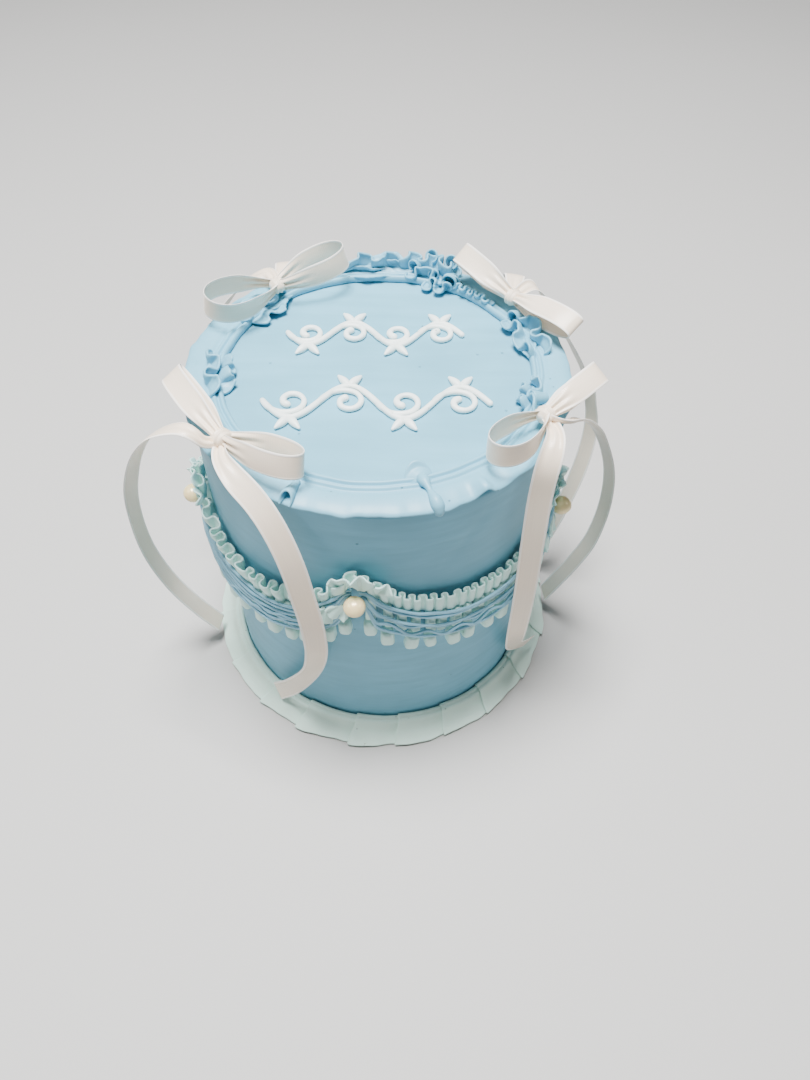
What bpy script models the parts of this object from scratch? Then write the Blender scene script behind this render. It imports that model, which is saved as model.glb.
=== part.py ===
"""A tall round layer cake in blue buttercream. It has a piped border on its top edge and
round its foot, a garland piped on its wall in five swags, a sugar pearl where the swags
meet, four satin bows with long tails on its rim, and a piped vine scroll on its top.

Metres, +Z up. The origin is the middle of the cake's foot, and -Y is the front.
Directions round the cake are degrees from +X, counter-clockwise seen from above.
"""

import math

import bmesh
import bpy
from mathutils import Vector

MM = 0.001
GAP = 0.3 * MM  # air between neighbouring solids
FULL_TURN = 2 * math.pi

# The cake: a 6 inch tin, iced to a hand-height above the usual layer cake
CAKE_RADIUS = 79 * MM
CAKE_HEIGHT = 168 * MM
CAKE_EDGE_RADIUS = 3 * MM
CAKE_STEPS = 68

# The border piped on the rim: a double ridge inside, a thin flap that hangs over the edge
TOP_BORDER_SECTION = (
    (64.4, 168.3), (65.0, 170.2), (66.6, 171.0), (68.2, 169.9), (69.8, 170.5),
    (76.5, 170.6), (79.6, 169.8), (80.3, 167.4), (79.4, 167.1), (76.8, 168.6),
)
TOP_BORDER_STEPS = 60
FLAP_FROM = 69 * MM  # the flap's folds grow from this radius outward
FLAP_TO = 80 * MM
# Folds in the flap: direction and half width in degrees, how far up and how far out
FLAP_FOLDS = (
    (249, 5, 0.2, 0.4), (263, 7, 0.5, 0.2), (287, 4, 0.9, 0.4), (302, 5, 0.6, 0.3),
    (322, 6, 0.3, 0.3), (2, 6, 0.4, 0.2), (160, 6, 0.4, 0.2), (206, 6, 0.2, 0.2),
)

# Frills that stand up from the top border: from and to in degrees, middle radius,
# height, half depth, number of pleats
TOP_FRILLS = (
    (65, 101, 71.5, 7.5, 2.6, 5),
    (134, 152, 63.6, 2.4, 1.8, 2),
    (176, 194, 66.0, 5.0, 2.2, 3),
    (12, 29, 65.5, 6.0, 2.2, 3),
    (338, 350, 63.5, 4.5, 1.8, 2),
)
FRILL_THICKNESS = 1.4 * MM
FRONT_CURL_ANGLE = 286
FRONT_CURL_RADIUS = 2.6 * MM
FRONT_CURL_FROM = 61.5 * MM
FRONT_CURL_LENGTH = 15 * MM

# The border round the foot: a ridge against the wall and a flap spread on the table
BASE_BORDER_SECTION = (
    (79.4, 0.0), (79.4, 7.6), (80.3, 8.9), (81.5, 7.6), (82.7, 7.9), (84.3, 5.8),
    (88.0, 3.4), (92.2, 1.4), (91.8, 0.0),
)
BASE_BORDER_STEPS = 68
BASE_PLEATS = (8, 26, 49, 70, 88, 110, 133, 150, 171, 190, 211, 229, 244, 262, 277, 293, 309, 327, 346)
BASE_PLEAT_OUT = 1.8 * MM
BASE_PLEAT_UP = 0.9 * MM

# The garland: pearls where its swags meet, each with its direction and its height, and
# the height of the ruffle's foot in the middle of each swag
PEARLS = {
    "front": (265, 120),
    "right": (342, 115),
    "back_right": (413, 116),
    "back_left": (484, 117),
    "left": (555, 115),
}
PEARL_WIDTH = 9 * MM
PEARL_HEIGHT = 8 * MM
PEARL_AXIS_RADIUS = 87.0 * MM
SWAGS = {
    "front_left": ("left", "front"),
    "front_right": ("front", "right"),
    "right": ("right", "back_right"),
    "back": ("back_right", "back_left"),
    "left": ("back_left", "left"),
}
SWAG_CREST = {"front_left": 101.4, "front_right": 103.4, "right": 102.3, "back": 101.3, "left": 101.8}
SWAG_OVER_PEARL = 3.5 * MM  # how far above a pearl's middle the ruffle's foot meets the next one
RUFFLE_HEIGHT = 8.5 * MM
RUFFLE_FAN = 3.5 * MM  # how much taller the ruffle is beside a pearl
RUFFLE_DEPTH = 5.9 * MM
RUFFLE_PITCH = 8 * MM
RUFFLE_THICKNESS = 1.0 * MM
RUFFLE_FOOT = 80.1 * MM
STRING_RADIUS = 1.1 * MM
STRING_AXIS_RADIUS = 85.2 * MM
STRING_MEETING_RADIUS = 80.9 * MM  # where the strings pass behind a pearl
STRING_HANGS = (0.0, 7.0, 14.0)  # how much lower each string's middle is than the first's
STRING_SPREAD = 4.5 * MM  # how far apart the strings are where they meet
STRING_START_ANGLES = (0.0, 1.2, 3.0, 5.5)
STRING_END_ANGLE = 4.2
STRING_SPANS = 7
DROPS_PER_SWAG = 6
DROP_REACH = 31 * MM  # how far below the ruffle's foot the middle drops end
DROP_RISE = 14 * MM  # how much shorter the end drops are
DROP_AXIS_RADIUS = 82.8 * MM
# A drop is turned: its radius at each share of its length
DROP_PROFILE = ((0, 0.0), (2.0, 0.03), (2.9, 0.84), (2.1, 0.97), (0, 1.0))
DROP_SIDES = 5

# The bows: 3/8 inch satin ribbon, each with a knot and two loops along the rim
RIBBON_WIDTH = 10 * MM
RIBBON_THICKNESS = 0.8 * MM
KNOT_SIZE = (5.4, 4.6, 3.3)
KNOT_LEVEL = 177.0 * MM
GATHERED_WIDTH = 5 * MM
LOOP_STEPS = 10
# Each bow: the knot's place, then two loops, each with the place and height of its tip,
# how far the ribbon's width leans up from level towards the back in degrees, and how far
# the loop opens
BOWS = {
    "front_left": ((-56.5, -49.9), ((-80.2, -18.1, 181), 30, 8), ((-24.7, -67.5, 181), 70, 12)),
    "front_right": ((65.6, -35.1), ((44.1, -60.3, 181), 86, 14), ((88.8, -14.2, 181), 30, 9)),
    "back_left": ((-46.5, 47.4), ((-74.0, 25.6, 181), 98, 17), ((-16.7, 63.1, 184), 80, 16)),
    "back_right": ((58.8, 40.7), ((35.8, 64.3, 184), 40, 8), ((82.7, 13.8, 181), 22, 8)),
}

# The tails: each one's route in millimetres, and the way its width points at four even
# stages along it
TAILS = {
    "front_left_outer": (
        ((-62.2, -53.3, 178.8), (-64.4, -52.9, 181.6), (-69.6, -51.3, 183.5), (-77, -49.4, 180.8),
         (-85.1, -47.6, 174.8), (-93.3, -45, 162.3), (-100.5, -42, 144.5), (-105.6, -38.5, 124.6),
         (-108.7, -35, 99.4), (-108.7, -32, 76.3), (-105, -29, 51.1), (-97.2, -27.2, 28.4),
         (-88.5, -25.8, 10.5)),
        ((0.2, 0.9, 0.0), (0.05, 0.68, -0.74), (0.2, 0.9, -0.35), (0.3, 0.95, 0.0)),
    ),
    "front_left_inner": (
        ((-56.0, -58.4, 176.2), (-50.6, -66.6, 174.6), (-42, -74, 168.6), (-35.7, -79.6, 159.3),
         (-30.6, -84.4, 144.6), (-27.4, -87.5, 125.7), (-25.2, -89, 105.9), (-25.4, -88.5, 84.8),
         (-30.2, -84, 61.6), (-42.2, -75.5, 32), (-53.1, -67, 10.5)),
        ((0.86, 0.4, 0.32), (0.95, 0.25, 0.2), (0.97, 0.1, 0.1), (0.62, -0.79, 0.0)),
    ),
    "front_right_outer": (
        ((73.4, -39.4, 177), (76.4, -37.4, 176), (82, -32.5, 171.8), (89.9, -27, 161.2), (97.8, -23.6, 143.9),
         (103.2, -20, 124.4), (106.2, -16, 99.2), (105.8, -12, 71.1), (101.4, -8, 46.2),
         (95.8, -5, 25.5), (91.3, -3, 10.5)),
        ((-0.1, 0.75, -0.65), (-0.15, 0.8, -0.58), (-0.25, 0.85, -0.45), (-0.3, 0.9, -0.3)),
    ),
    "front_right_inner": (
        ((68.6, -43.6, 176.4), (67.6, -50.5, 174.6), (65.4, -56, 167.4), (64.5, -58.6, 153.7),
         (64.4, -62, 132.8), (64.9, -64, 107.3), (65.3, -64.2, 84.4), (66.2, -60.8, 58.5),
         (69, -51.5, 34), (74.3, -43.5, 21.5), (80.5, -36.5, 14)),
        ((1.0, 0.0, 0.0), (1.0, 0.0, 0.0), (0.97, 0.2, 0.0), (0.75, 0.5, 0.4)),
    ),
    "back_left_outer": (
        ((-51.4, 57.6, 176.8), (-57, 59.5, 174.4), (-65.8, 58.5, 168.5), (-75, 52, 160), (-83, 47.5, 150.6),
         (-88, 46, 142), (-92, 44, 132), (-94, 42, 115), (-94, 40, 95), (-93, 37, 70), (-91, 34, 45),
         (-89.5, 31.5, 25), (-87.5, 30, 10.5)),
        ((0.5, 0.8, 0.2), (0.5, 0.8, 0.2), (0.3, 0.95, 0.0), (0.3, 0.95, 0.0)),
    ),
    "back_left_inner": (
        ((-45.2, 60, 176.4), (-45, 69.5, 174.6), (-44, 81, 163), (-43.9, 90.5, 139.3), (-45, 96, 112),
         (-45, 96, 84), (-43, 93, 55), (-41, 88, 28), (-39.5, 83.5, 10.5)),
        ((1.0, 0.1, 0.0), (1.0, 0.3, 0.0), (1.0, 0.4, 0.0), (0.9, 0.4, 0.0)),
    ),
    "back_right_outer": (
        ((66.6, 49, 177), (71.4, 51, 174), (78.4, 50.5, 163), (88, 47.2, 150.2), (94.5, 44.6, 140.4),
         (101, 42, 129), (103.5, 39, 120), (106, 36, 108), (106, 33, 94), (104, 30, 78),
         (100.5, 27.5, 60), (96.5, 26, 42), (92.5, 26, 25), (89, 26.5, 10.5)),
        ((-0.5, 0.8, 0.2), (-0.5, 0.8, 0.3), (-0.5, 0.85, 0.1), (-0.3, 0.9, 0.0)),
    ),
    "back_right_inner": (
        ((60.6, 54, 176.2), (61.6, 63, 173.8), (61.6, 73.5, 160.5), (61, 82.5, 138.3), (61, 87, 112),
         (60, 87, 84), (57, 84.5, 55), (54.5, 80.5, 28), (52, 77, 10.5)),
        ((1.0, -0.2, 0.0), (1.0, -0.4, 0.0), (1.0, -0.5, 0.0), (0.9, -0.5, 0.0)),
    ),
}
TAIL_SPACING = 14 * MM
TAIL_START_WIDTH = 5 * MM  # gathered where it leaves the knot

# The piped vine on the top: two rows, each with the middle of its stem, its waves, the
# length of a wave and how far the stem swings. Every bend holds a curl and bears two leaves
SCROLL_LINE_RADIUS = 1.3 * MM
CURL_LINE_RADIUS = 1.15 * MM
LEAF_LINE_RADIUS = 1.1 * MM
SCROLL_ROWS = {"upper": (-2, 24, 2.0, 38, 7.8), "lower": (0, -20, 2.0, 46, 9.6)}
SCROLL_STEM_POINTS_PER_WAVE = 10
CURL_END = 2.4 * MM
CURL_TURN = 420
CURL_POINTS = 9
LEAF_LENGTH = 7 * MM
LEAF_LEAN = 38  # degrees either side of straight out from the stem


def polar(radius, degrees, height):
    """The point at a radius, a direction and a height."""
    angle = math.radians(degrees)
    return Vector((radius * math.cos(angle), radius * math.sin(angle), height))


def blend(start, end, share):
    """The value or vector at a share of the way from start to end."""
    return start + (end - start) * share


def ease(share):
    """A smooth step from 0 to 1."""
    share = min(max(share, 0.0), 1.0)
    return share * share * (3 - 2 * share)


def smooth_route(points, spacing):
    """Points about one spacing apart on a Catmull-Rom curve through the given points."""
    corners = [Vector(point) * MM for point in points]
    padded = [2 * corners[0] - corners[1], *corners, 2 * corners[-1] - corners[-2]]
    fine = []
    for a, b, c, d in zip(padded, padded[1:], padded[2:], padded[3:]):
        for step in range(12):
            t = step / 12
            point = 2 * b + (c - a) * t + (2 * a - 5 * b + 4 * c - d) * t**2
            fine.append(0.5 * (point + (3 * b - a - 3 * c + d) * t**3))
    fine.append(corners[-1])
    total = sum((b - a).length for a, b in zip(fine, fine[1:]))
    count = max(2, round(total / spacing))
    route = [fine[0]]
    walked = 0.0
    for a, b in zip(fine, fine[1:]):
        walked += (b - a).length
        if walked >= len(route) * total / count - 1e-9 and len(route) < count:
            route.append(b)
    route.append(fine[-1])
    return route


def make_material(name, colour, roughness):
    """A plain Principled material in one sRGB colour, given as three shares."""
    material = bpy.data.materials.new(name)
    material.use_nodes = True
    shader = material.node_tree.nodes["Principled BSDF"]
    linear = [((c + 0.055) / 1.055) ** 2.4 for c in colour]
    shader.inputs["Base Color"].default_value = (*linear, 1.0)
    shader.inputs["Roughness"].default_value = roughness
    shader.inputs["Metallic"].default_value = 0.0
    return material


def add_object(name, data, material):
    """Link a new object that holds the data and wears the material."""
    obj = bpy.data.objects.new(name, data)
    bpy.context.collection.objects.link(obj)
    obj.data.materials.clear()
    obj.data.materials.append(material)
    return obj


def mesh_from(name, bm, material):
    """Turn a bmesh into a smooth shaded object."""
    mesh = bpy.data.meshes.new(name)
    bmesh.ops.recalc_face_normals(bm, faces=bm.faces)
    bm.to_mesh(mesh)
    bm.free()
    mesh.shade_smooth()
    mesh.set_sharp_from_angle(angle=math.radians(50))
    return add_object(name, mesh, material)


def spun(section, steps, closed):
    """A bmesh of a section of (radius, height) points turned about the vertical axis."""
    bm = bmesh.new()
    verts = [bm.verts.new((radius, 0.0, height)) for radius, height in section]
    edges = [bm.edges.new(pair) for pair in zip(verts, verts[1:])]
    if closed:
        edges.append(bm.edges.new((verts[-1], verts[0])))
    bmesh.ops.spin(
        bm, geom=verts + edges, cent=(0, 0, 0), axis=(0, 0, 1), angle=FULL_TURN, steps=steps, use_merge=True
    )
    bmesh.ops.remove_doubles(bm, verts=bm.verts, dist=0.01 * MM)
    return bm


def sheet(name, columns, rows, place, thickness, material):
    """A closed sheet of even thickness. place(u, v) gives its middle surface."""
    bm = bmesh.new()
    bmesh.ops.create_grid(bm, x_segments=columns, y_segments=rows, size=1)
    for vert in bm.verts:
        vert.co = place((vert.co.x + 1) / 2, (vert.co.y + 1) / 2)
    mesh = bpy.data.meshes.new(name)
    bm.to_mesh(mesh)
    bm.free()
    obj = add_object(name, mesh, material)
    solidify = obj.modifiers.new("Thickness", "SOLIDIFY")
    solidify.thickness = thickness
    solidify.offset = 0
    return obj


def piped_line(name, points, radius, material, roundness=1):
    """A line of icing: a tube through the points with filled ends."""
    curve = bpy.data.curves.new(name, "CURVE")
    curve.dimensions = "3D"
    curve.bevel_depth = radius
    curve.bevel_resolution = roundness
    curve.use_fill_caps = True
    spline = curve.splines.new("POLY")
    spline.points.add(len(points) - 1)
    for knot, point in zip(spline.points, points):
        knot.co = (*point, 1.0)
    return add_object(name, curve, material)


def baked(obj):
    """The object with its modifiers or curve bevel turned into a plain mesh."""
    evaluated = obj.evaluated_get(bpy.context.evaluated_depsgraph_get())
    mesh = bpy.data.meshes.new_from_object(evaluated)
    plain = add_object(obj.name + "_plain", mesh, obj.data.materials[0])
    plain.matrix_world = obj.matrix_world.copy()
    bpy.data.objects.remove(obj)
    return plain


def joined(name, pieces, material):
    """One body made of overlapping pieces by a Boolean union."""
    bpy.context.view_layer.update()
    base, *others = [baked(piece) for piece in pieces]
    operands = bpy.data.collections.new(name + "_pieces")
    bpy.context.scene.collection.children.link(operands)
    for other in others:
        bpy.context.collection.objects.unlink(other)
        operands.objects.link(other)
    union = base.modifiers.new("Union", "BOOLEAN")
    union.operation = "UNION"
    union.operand_type = "COLLECTION"
    union.collection = operands
    union.solver = "EXACT"
    bpy.context.view_layer.update()
    body = baked(base)
    body.name = name
    body.data.materials.clear()
    body.data.materials.append(material)
    for other in others:
        bpy.data.objects.remove(other)
    bpy.data.collections.remove(operands)
    return body


def make_cake(icing):
    """The iced cake, turned, with its top edge rounded."""
    section = [(0, 0), (CAKE_RADIUS, 0)]
    for step in range(4):
        angle = math.radians(30 * step)
        section.append((
            CAKE_RADIUS - CAKE_EDGE_RADIUS * (1 - math.cos(angle)),
            CAKE_HEIGHT - CAKE_EDGE_RADIUS * (1 - math.sin(angle)),
        ))
    section.append((0, CAKE_HEIGHT))
    return mesh_from("cake", spun(section, CAKE_STEPS, closed=False), icing)


def fold_of(degrees):
    """How far the top flap rises and reaches out in a direction, from its folds."""
    up = 0.0
    out = 0.0
    for middle, half_width, rise, reach in FLAP_FOLDS:
        away = (degrees - middle + 180) % 360 - 180
        share = math.exp(-((away / half_width) ** 2))
        up += rise * share * MM
        out += reach * share * MM
    return up, out


def make_top_border(icing):
    """The rim's border: a spun double ridge and flap, with frills and a curl joined on."""
    bm = spun([(r * MM, z * MM) for r, z in TOP_BORDER_SECTION], TOP_BORDER_STEPS, closed=True)
    for vert in bm.verts:
        radius = math.hypot(vert.co.x, vert.co.y)
        degrees = math.degrees(math.atan2(vert.co.y, vert.co.x))
        up, out = fold_of(degrees)
        share = ease((radius - FLAP_FROM) / (FLAP_TO - FLAP_FROM))
        vert.co = polar(radius + out * share, degrees, vert.co.z + up * share)
    pieces = [mesh_from("top_border_band", bm, icing)]
    for index, frill in enumerate(TOP_FRILLS):
        pieces.append(make_frill(f"top_border_frill_{index}", frill, icing))
    curl_start = polar(FRONT_CURL_FROM, FRONT_CURL_ANGLE, CAKE_HEIGHT + GAP + FRONT_CURL_RADIUS)
    curl_end = polar(
        FRONT_CURL_FROM + FRONT_CURL_LENGTH, FRONT_CURL_ANGLE, CAKE_HEIGHT + GAP + FRONT_CURL_RADIUS
    )
    pieces.append(piped_line("top_border_curl", (curl_start, curl_end), FRONT_CURL_RADIUS, icing))
    return joined("top_border", pieces, icing)


def make_frill(name, frill, icing):
    """A pleated ribbon of icing that stands on the top border."""
    start, end, radius, height, depth, pleats = frill

    def place(u, v):
        degrees = blend(start, end, u)
        swing = depth * (0.35 + 0.65 * v) * math.sin(FULL_TURN * pleats * u)
        level = CAKE_HEIGHT / MM + 1.0 + height * v * (0.8 + 0.2 * math.sin(5 * u + 1))
        return polar((radius + swing) * MM, degrees, level * MM)

    return sheet(name, pleats * 4, 1, place, FRILL_THICKNESS, icing)


def pleat_share(degrees):
    """How far a direction has left the last pleat: 1 just after it, 0 at the next one."""
    degrees %= 360
    edges = [BASE_PLEATS[-1] - 360, *BASE_PLEATS, BASE_PLEATS[0] + 360]
    for start, end in zip(edges, edges[1:]):
        if start <= degrees < end:
            return (end - degrees) / (end - start)
    return 0.0


def make_base_border(icing):
    """The border round the foot, in overlapping pleats, flat underneath."""
    bm = spun([(r * MM, z * MM) for r, z in BASE_BORDER_SECTION], BASE_BORDER_STEPS, closed=True)
    inner = BASE_BORDER_SECTION[0][0] * MM
    outer = max(r for r, _ in BASE_BORDER_SECTION) * MM
    for vert in bm.verts:
        radius = math.hypot(vert.co.x, vert.co.y)
        degrees = math.degrees(math.atan2(vert.co.y, vert.co.x))
        share = (radius - inner) / (outer - inner)
        lift = pleat_share(degrees)
        height = vert.co.z + (BASE_PLEAT_UP * lift if vert.co.z > 0.5 * MM else 0.0)
        vert.co = polar(radius + BASE_PLEAT_OUT * lift * share, degrees, height)
    return mesh_from("base_border", bm, icing)


def swag_span(swag):
    """The directions where a swag begins and ends."""
    start, end = (PEARLS[pearl][0] for pearl in SWAGS[swag])
    return (start - 360, end) if start > end else (start, end)


def swag_foot(swag, u):
    """The height of the foot of a swag's ruffle at a share of the way along it."""
    pearl = SWAGS[swag][0 if u < 0.5 else 1]
    meeting = PEARLS[pearl][1] * MM + SWAG_OVER_PEARL
    return blend(SWAG_CREST[swag] * MM, meeting, abs(2 * u - 1) ** 2.2)


def make_ruffle(swag, icing):
    """The ruffle along the top of a swag, its free edge pleated and standing off the wall."""
    start, end = swag_span(swag)
    length = math.radians(end - start) * RUFFLE_FOOT
    pleats = round(length / RUFFLE_PITCH)

    def place(u, v):
        degrees = blend(start + 1.0, end - 1.0, u)
        rise = RUFFLE_HEIGHT + RUFFLE_FAN * abs(2 * u - 1) ** 8
        swing = 0.5 + 0.5 * math.sin(FULL_TURN * pleats * u)
        radius = RUFFLE_FOOT + RUFFLE_DEPTH * v * (0.25 + 0.75 * swing)
        return polar(radius, degrees, swag_foot(swag, u) + 0.4 * MM + rise * v)

    return sheet("swag_ruffle_" + swag, pleats * 4, 1, place, RUFFLE_THICKNESS, icing)


def make_string(swag, index, icing):
    """One draped line of a swag, from behind its first pearl to beside its last one."""
    start, end = swag_span(swag)
    angles = [start + angle for angle in STRING_START_ANGLES]
    for step in range(1, STRING_SPANS + 1):
        angles.append(blend(start + STRING_START_ANGLES[-1], end - STRING_END_ANGLE, step / STRING_SPANS))
    points = []
    for degrees in angles:
        u = (degrees - start) / (end - start)
        radius = blend(STRING_MEETING_RADIUS, STRING_AXIS_RADIUS, ease((degrees - start - 1) / 4))
        droop = 1 - abs(2 * u - 1) ** 2.2
        level = swag_foot(swag, u) - 1.8 * MM - STRING_HANGS[index] * MM * droop
        points.append(polar(radius, degrees, level - STRING_SPREAD * index * (1 - droop)))
    return piped_line("string", points, STRING_RADIUS, icing, roundness=0)


def make_drop(swag, u, icing):
    """An upright stroke behind the strings that swells into a rounded drop below them."""
    start, end = swag_span(swag)
    top = swag_foot(swag, u) - 1.2 * MM
    reach = DROP_REACH - DROP_RISE * abs(2 * u - 1) ** 1.5
    bm = spun([(radius * MM, -share * reach) for radius, share in DROP_PROFILE], DROP_SIDES, closed=False)
    centre = polar(DROP_AXIS_RADIUS, blend(start, end, u), top)
    bmesh.ops.translate(bm, verts=bm.verts, vec=centre)
    return mesh_from("drop", bm, icing)


def make_lattice(swag, icing):
    """A swag's strings and drops, which touch and are one body."""
    pieces = [make_string(swag, index, icing) for index in range(len(STRING_HANGS))]
    for index in range(DROPS_PER_SWAG):
        u = (index + 0.9 + 0.12 * math.sin(2.4 * index)) / (DROPS_PER_SWAG + 0.8)
        pieces.append(make_drop(swag, u, icing))
    return joined("swag_lattice_" + swag, pieces, icing)


def make_pearl(name, pearl, sugar):
    """A sugar pearl, a little flatter than it is wide."""
    degrees, level = pearl
    bm = bmesh.new()
    bmesh.ops.create_uvsphere(bm, u_segments=9, v_segments=6, radius=PEARL_WIDTH / 2)
    bmesh.ops.scale(bm, verts=bm.verts, vec=(1, 1, PEARL_HEIGHT / PEARL_WIDTH))
    bmesh.ops.translate(bm, verts=bm.verts, vec=polar(PEARL_AXIS_RADIUS, degrees, level * MM))
    return mesh_from("pearl_" + name, bm, sugar)


def make_loop(name, knot, loop, satin):
    """A loop of ribbon from the knot out to its tip and back."""
    tip, lean, opening = loop
    along = Vector(tip) * MM - knot
    length = along.length
    along.normalize()
    level = along.cross(Vector((0, 0, 1))).normalized()
    if level.y < 0:
        level.negate()
    upward = along.cross(level)
    if upward.z < 0:
        upward.negate()
    lean_angle = math.radians(lean)
    across = level * math.cos(lean_angle) + upward * math.sin(lean_angle)
    side = along.cross(across)

    def place(u, v):
        turn = FULL_TURN * u
        reach = length * (1 - math.cos(turn)) / 2
        bulge = opening * MM * 0.65 * math.sin(turn) * math.sin(turn / 2)
        bulge += RIBBON_THICKNESS * 1.2 * math.cos(turn / 2)
        width = blend(GATHERED_WIDTH, RIBBON_WIDTH, ease(reach / (0.55 * length)))
        return knot + along * reach + side * bulge + across * width * (v - 0.5)

    return sheet(name, LOOP_STEPS, 1, place, RIBBON_THICKNESS, satin)


def make_bow(name, bow, satin):
    """A bow: a knot with a loop on each side, one body."""
    place, *loops = bow
    knot = Vector((place[0] * MM, place[1] * MM, KNOT_LEVEL))
    bm = bmesh.new()
    bmesh.ops.create_uvsphere(bm, u_segments=8, v_segments=6, radius=MM)
    bmesh.ops.scale(bm, verts=bm.verts, vec=KNOT_SIZE)
    heading = Vector(loops[1][0]) - Vector(loops[0][0])
    turned = Vector((heading.x, heading.y, 0)).to_track_quat("X", "Z").to_matrix()
    bmesh.ops.rotate(bm, verts=bm.verts, cent=(0, 0, 0), matrix=turned)
    bmesh.ops.translate(bm, verts=bm.verts, vec=knot)
    pieces = [mesh_from("knot", bm, satin)]
    for loop in loops:
        pieces.append(make_loop("loop", knot, loop, satin))
    return joined("bow_" + name, pieces, satin)


def make_tail(name, tail, satin):
    """A free end of ribbon along its route, its width turning as the stages say."""
    points, stages = tail
    stages = [Vector(stage) for stage in stages]
    route = smooth_route(points, TAIL_SPACING)
    last = len(route) - 1

    def place(u, v):
        index = round(u * last)
        heading = (route[min(index + 1, last)] - route[max(index - 1, 0)]).normalized()
        stage = min(int(u * (len(stages) - 1)), len(stages) - 2)
        across = blend(stages[stage], stages[stage + 1], u * (len(stages) - 1) - stage)
        across = (across - heading * across.dot(heading)).normalized()
        width = blend(TAIL_START_WIDTH, RIBBON_WIDTH, ease(u * 8))
        return route[index] + across * width * (v - 0.5)

    return sheet("tail_" + name, last, 1, place, RIBBON_THICKNESS, satin)


def curl_points(middle, side, start, level):
    """A spiral that leaves the stem and curls inward. side is 1 above it and -1 below."""
    points = []
    for step in range(CURL_POINTS):
        share = step / (CURL_POINTS - 1)
        angle = math.radians(180 + CURL_TURN * share)
        radius = blend(start * 0.66, CURL_END, share) + start * 0.34 * max(0.0, 1 - 4 * share) ** 2
        points.append(middle + Vector((radius * math.cos(angle), side * radius * math.sin(angle), level)))
    return points


def make_scroll(name, row, icing):
    """One row of the piped vine: a waving stem with a curl and two leaves at each bend."""
    middle_x, middle_y, waves, wave_length, swing = row
    level = CAKE_HEIGHT + GAP + SCROLL_LINE_RADIUS
    left = (middle_x - waves * wave_length / 2) * MM
    count = round(waves * SCROLL_STEM_POINTS_PER_WAVE)
    stem = []
    for step in range(count + 1):
        u = step / count
        x = left + waves * wave_length * u * MM
        stem.append(Vector((x, (middle_y - swing * math.sin(FULL_TURN * waves * u)) * MM, level)))
    pieces = [piped_line("stem", stem, SCROLL_LINE_RADIUS, icing, roundness=0)]
    for bend in range(round(2 * waves)):
        side = 1 if bend % 2 == 0 else -1
        centre = Vector((left + (bend + 0.5) * wave_length / 2 * MM, middle_y * MM, 0))
        curl = curl_points(centre, side, wave_length / 4 * MM, level)
        pieces.append(piped_line("curl", curl, CURL_LINE_RADIUS, icing, roundness=0))
        foot = centre + Vector((0, -side * swing * MM, level - 0.1 * MM))
        for lean in (-LEAF_LEAN, LEAF_LEAN):
            angle = math.radians(lean - side * 90)
            tip = foot + Vector((math.cos(angle), math.sin(angle), 0)) * LEAF_LENGTH
            pieces.append(piped_line("leaf", (foot, tip), LEAF_LINE_RADIUS, icing, roundness=0))
    return joined("scroll_" + name, pieces, icing)


def main():
    for obj in list(bpy.data.objects):
        bpy.data.objects.remove(obj)

    blue = make_material("blue buttercream", (0.66, 0.79, 0.85), 0.55)
    deep_blue = make_material("deeper blue buttercream", (0.56, 0.71, 0.78), 0.5)
    mint = make_material("mint buttercream", (0.80, 0.87, 0.85), 0.5)
    white = make_material("white buttercream", (0.92, 0.96, 0.95), 0.4)
    satin = make_material("ivory satin", (0.93, 0.88, 0.83), 0.35)
    sugar = make_material("pearl sugar", (0.93, 0.87, 0.76), 0.25)

    make_cake(blue)
    make_top_border(deep_blue)
    make_base_border(mint)
    for swag in SWAGS:
        make_ruffle(swag, mint)
        make_lattice(swag, deep_blue)
    for name, pearl in PEARLS.items():
        make_pearl(name, pearl, sugar)
    for name, bow in BOWS.items():
        make_bow(name, bow, satin)
    for name, tail in TAILS.items():
        make_tail(name, tail, satin)
    for name, row in SCROLL_ROWS.items():
        make_scroll(name, row, white)


main()
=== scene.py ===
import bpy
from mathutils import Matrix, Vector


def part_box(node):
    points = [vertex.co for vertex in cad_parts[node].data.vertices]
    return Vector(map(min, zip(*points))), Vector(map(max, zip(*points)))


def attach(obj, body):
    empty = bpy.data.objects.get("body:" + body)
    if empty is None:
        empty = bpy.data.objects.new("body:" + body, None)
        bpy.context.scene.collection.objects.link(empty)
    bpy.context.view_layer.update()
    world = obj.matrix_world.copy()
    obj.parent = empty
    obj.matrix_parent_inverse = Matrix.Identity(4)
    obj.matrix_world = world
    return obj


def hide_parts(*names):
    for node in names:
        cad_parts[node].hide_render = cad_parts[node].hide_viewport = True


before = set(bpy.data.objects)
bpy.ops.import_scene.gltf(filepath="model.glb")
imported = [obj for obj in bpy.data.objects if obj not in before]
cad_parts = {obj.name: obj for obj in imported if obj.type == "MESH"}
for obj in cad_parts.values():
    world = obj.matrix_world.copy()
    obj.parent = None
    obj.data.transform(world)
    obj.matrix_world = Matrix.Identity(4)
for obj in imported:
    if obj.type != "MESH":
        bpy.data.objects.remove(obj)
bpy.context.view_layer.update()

# A tall round layer cake in blue buttercream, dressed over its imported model. It is laid out
# as an add-on: settings first, then the materials, the makers and one operator for each
# group of pieces. Lengths are metres, except in the tables, which are millimetres.
# Directions round the cake are degrees from +X, counter-clockwise seen from above, and the
# front is at 270.

import math

import bmesh
import bpy
from bpy.props import FloatProperty, FloatVectorProperty, IntProperty, PointerProperty
from mathutils import Matrix, Vector

bl_info = {
    "name": "Layer Cake with Garland and Bows",
    "version": (1, 0, 0),
    "blender": (4, 5, 0),
    "location": "3D View > Sidebar > Layer Cake",
    "description": "Builds a tall iced layer cake with piped borders, a garland and satin bows",
    "category": "Add Mesh",
}

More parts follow.
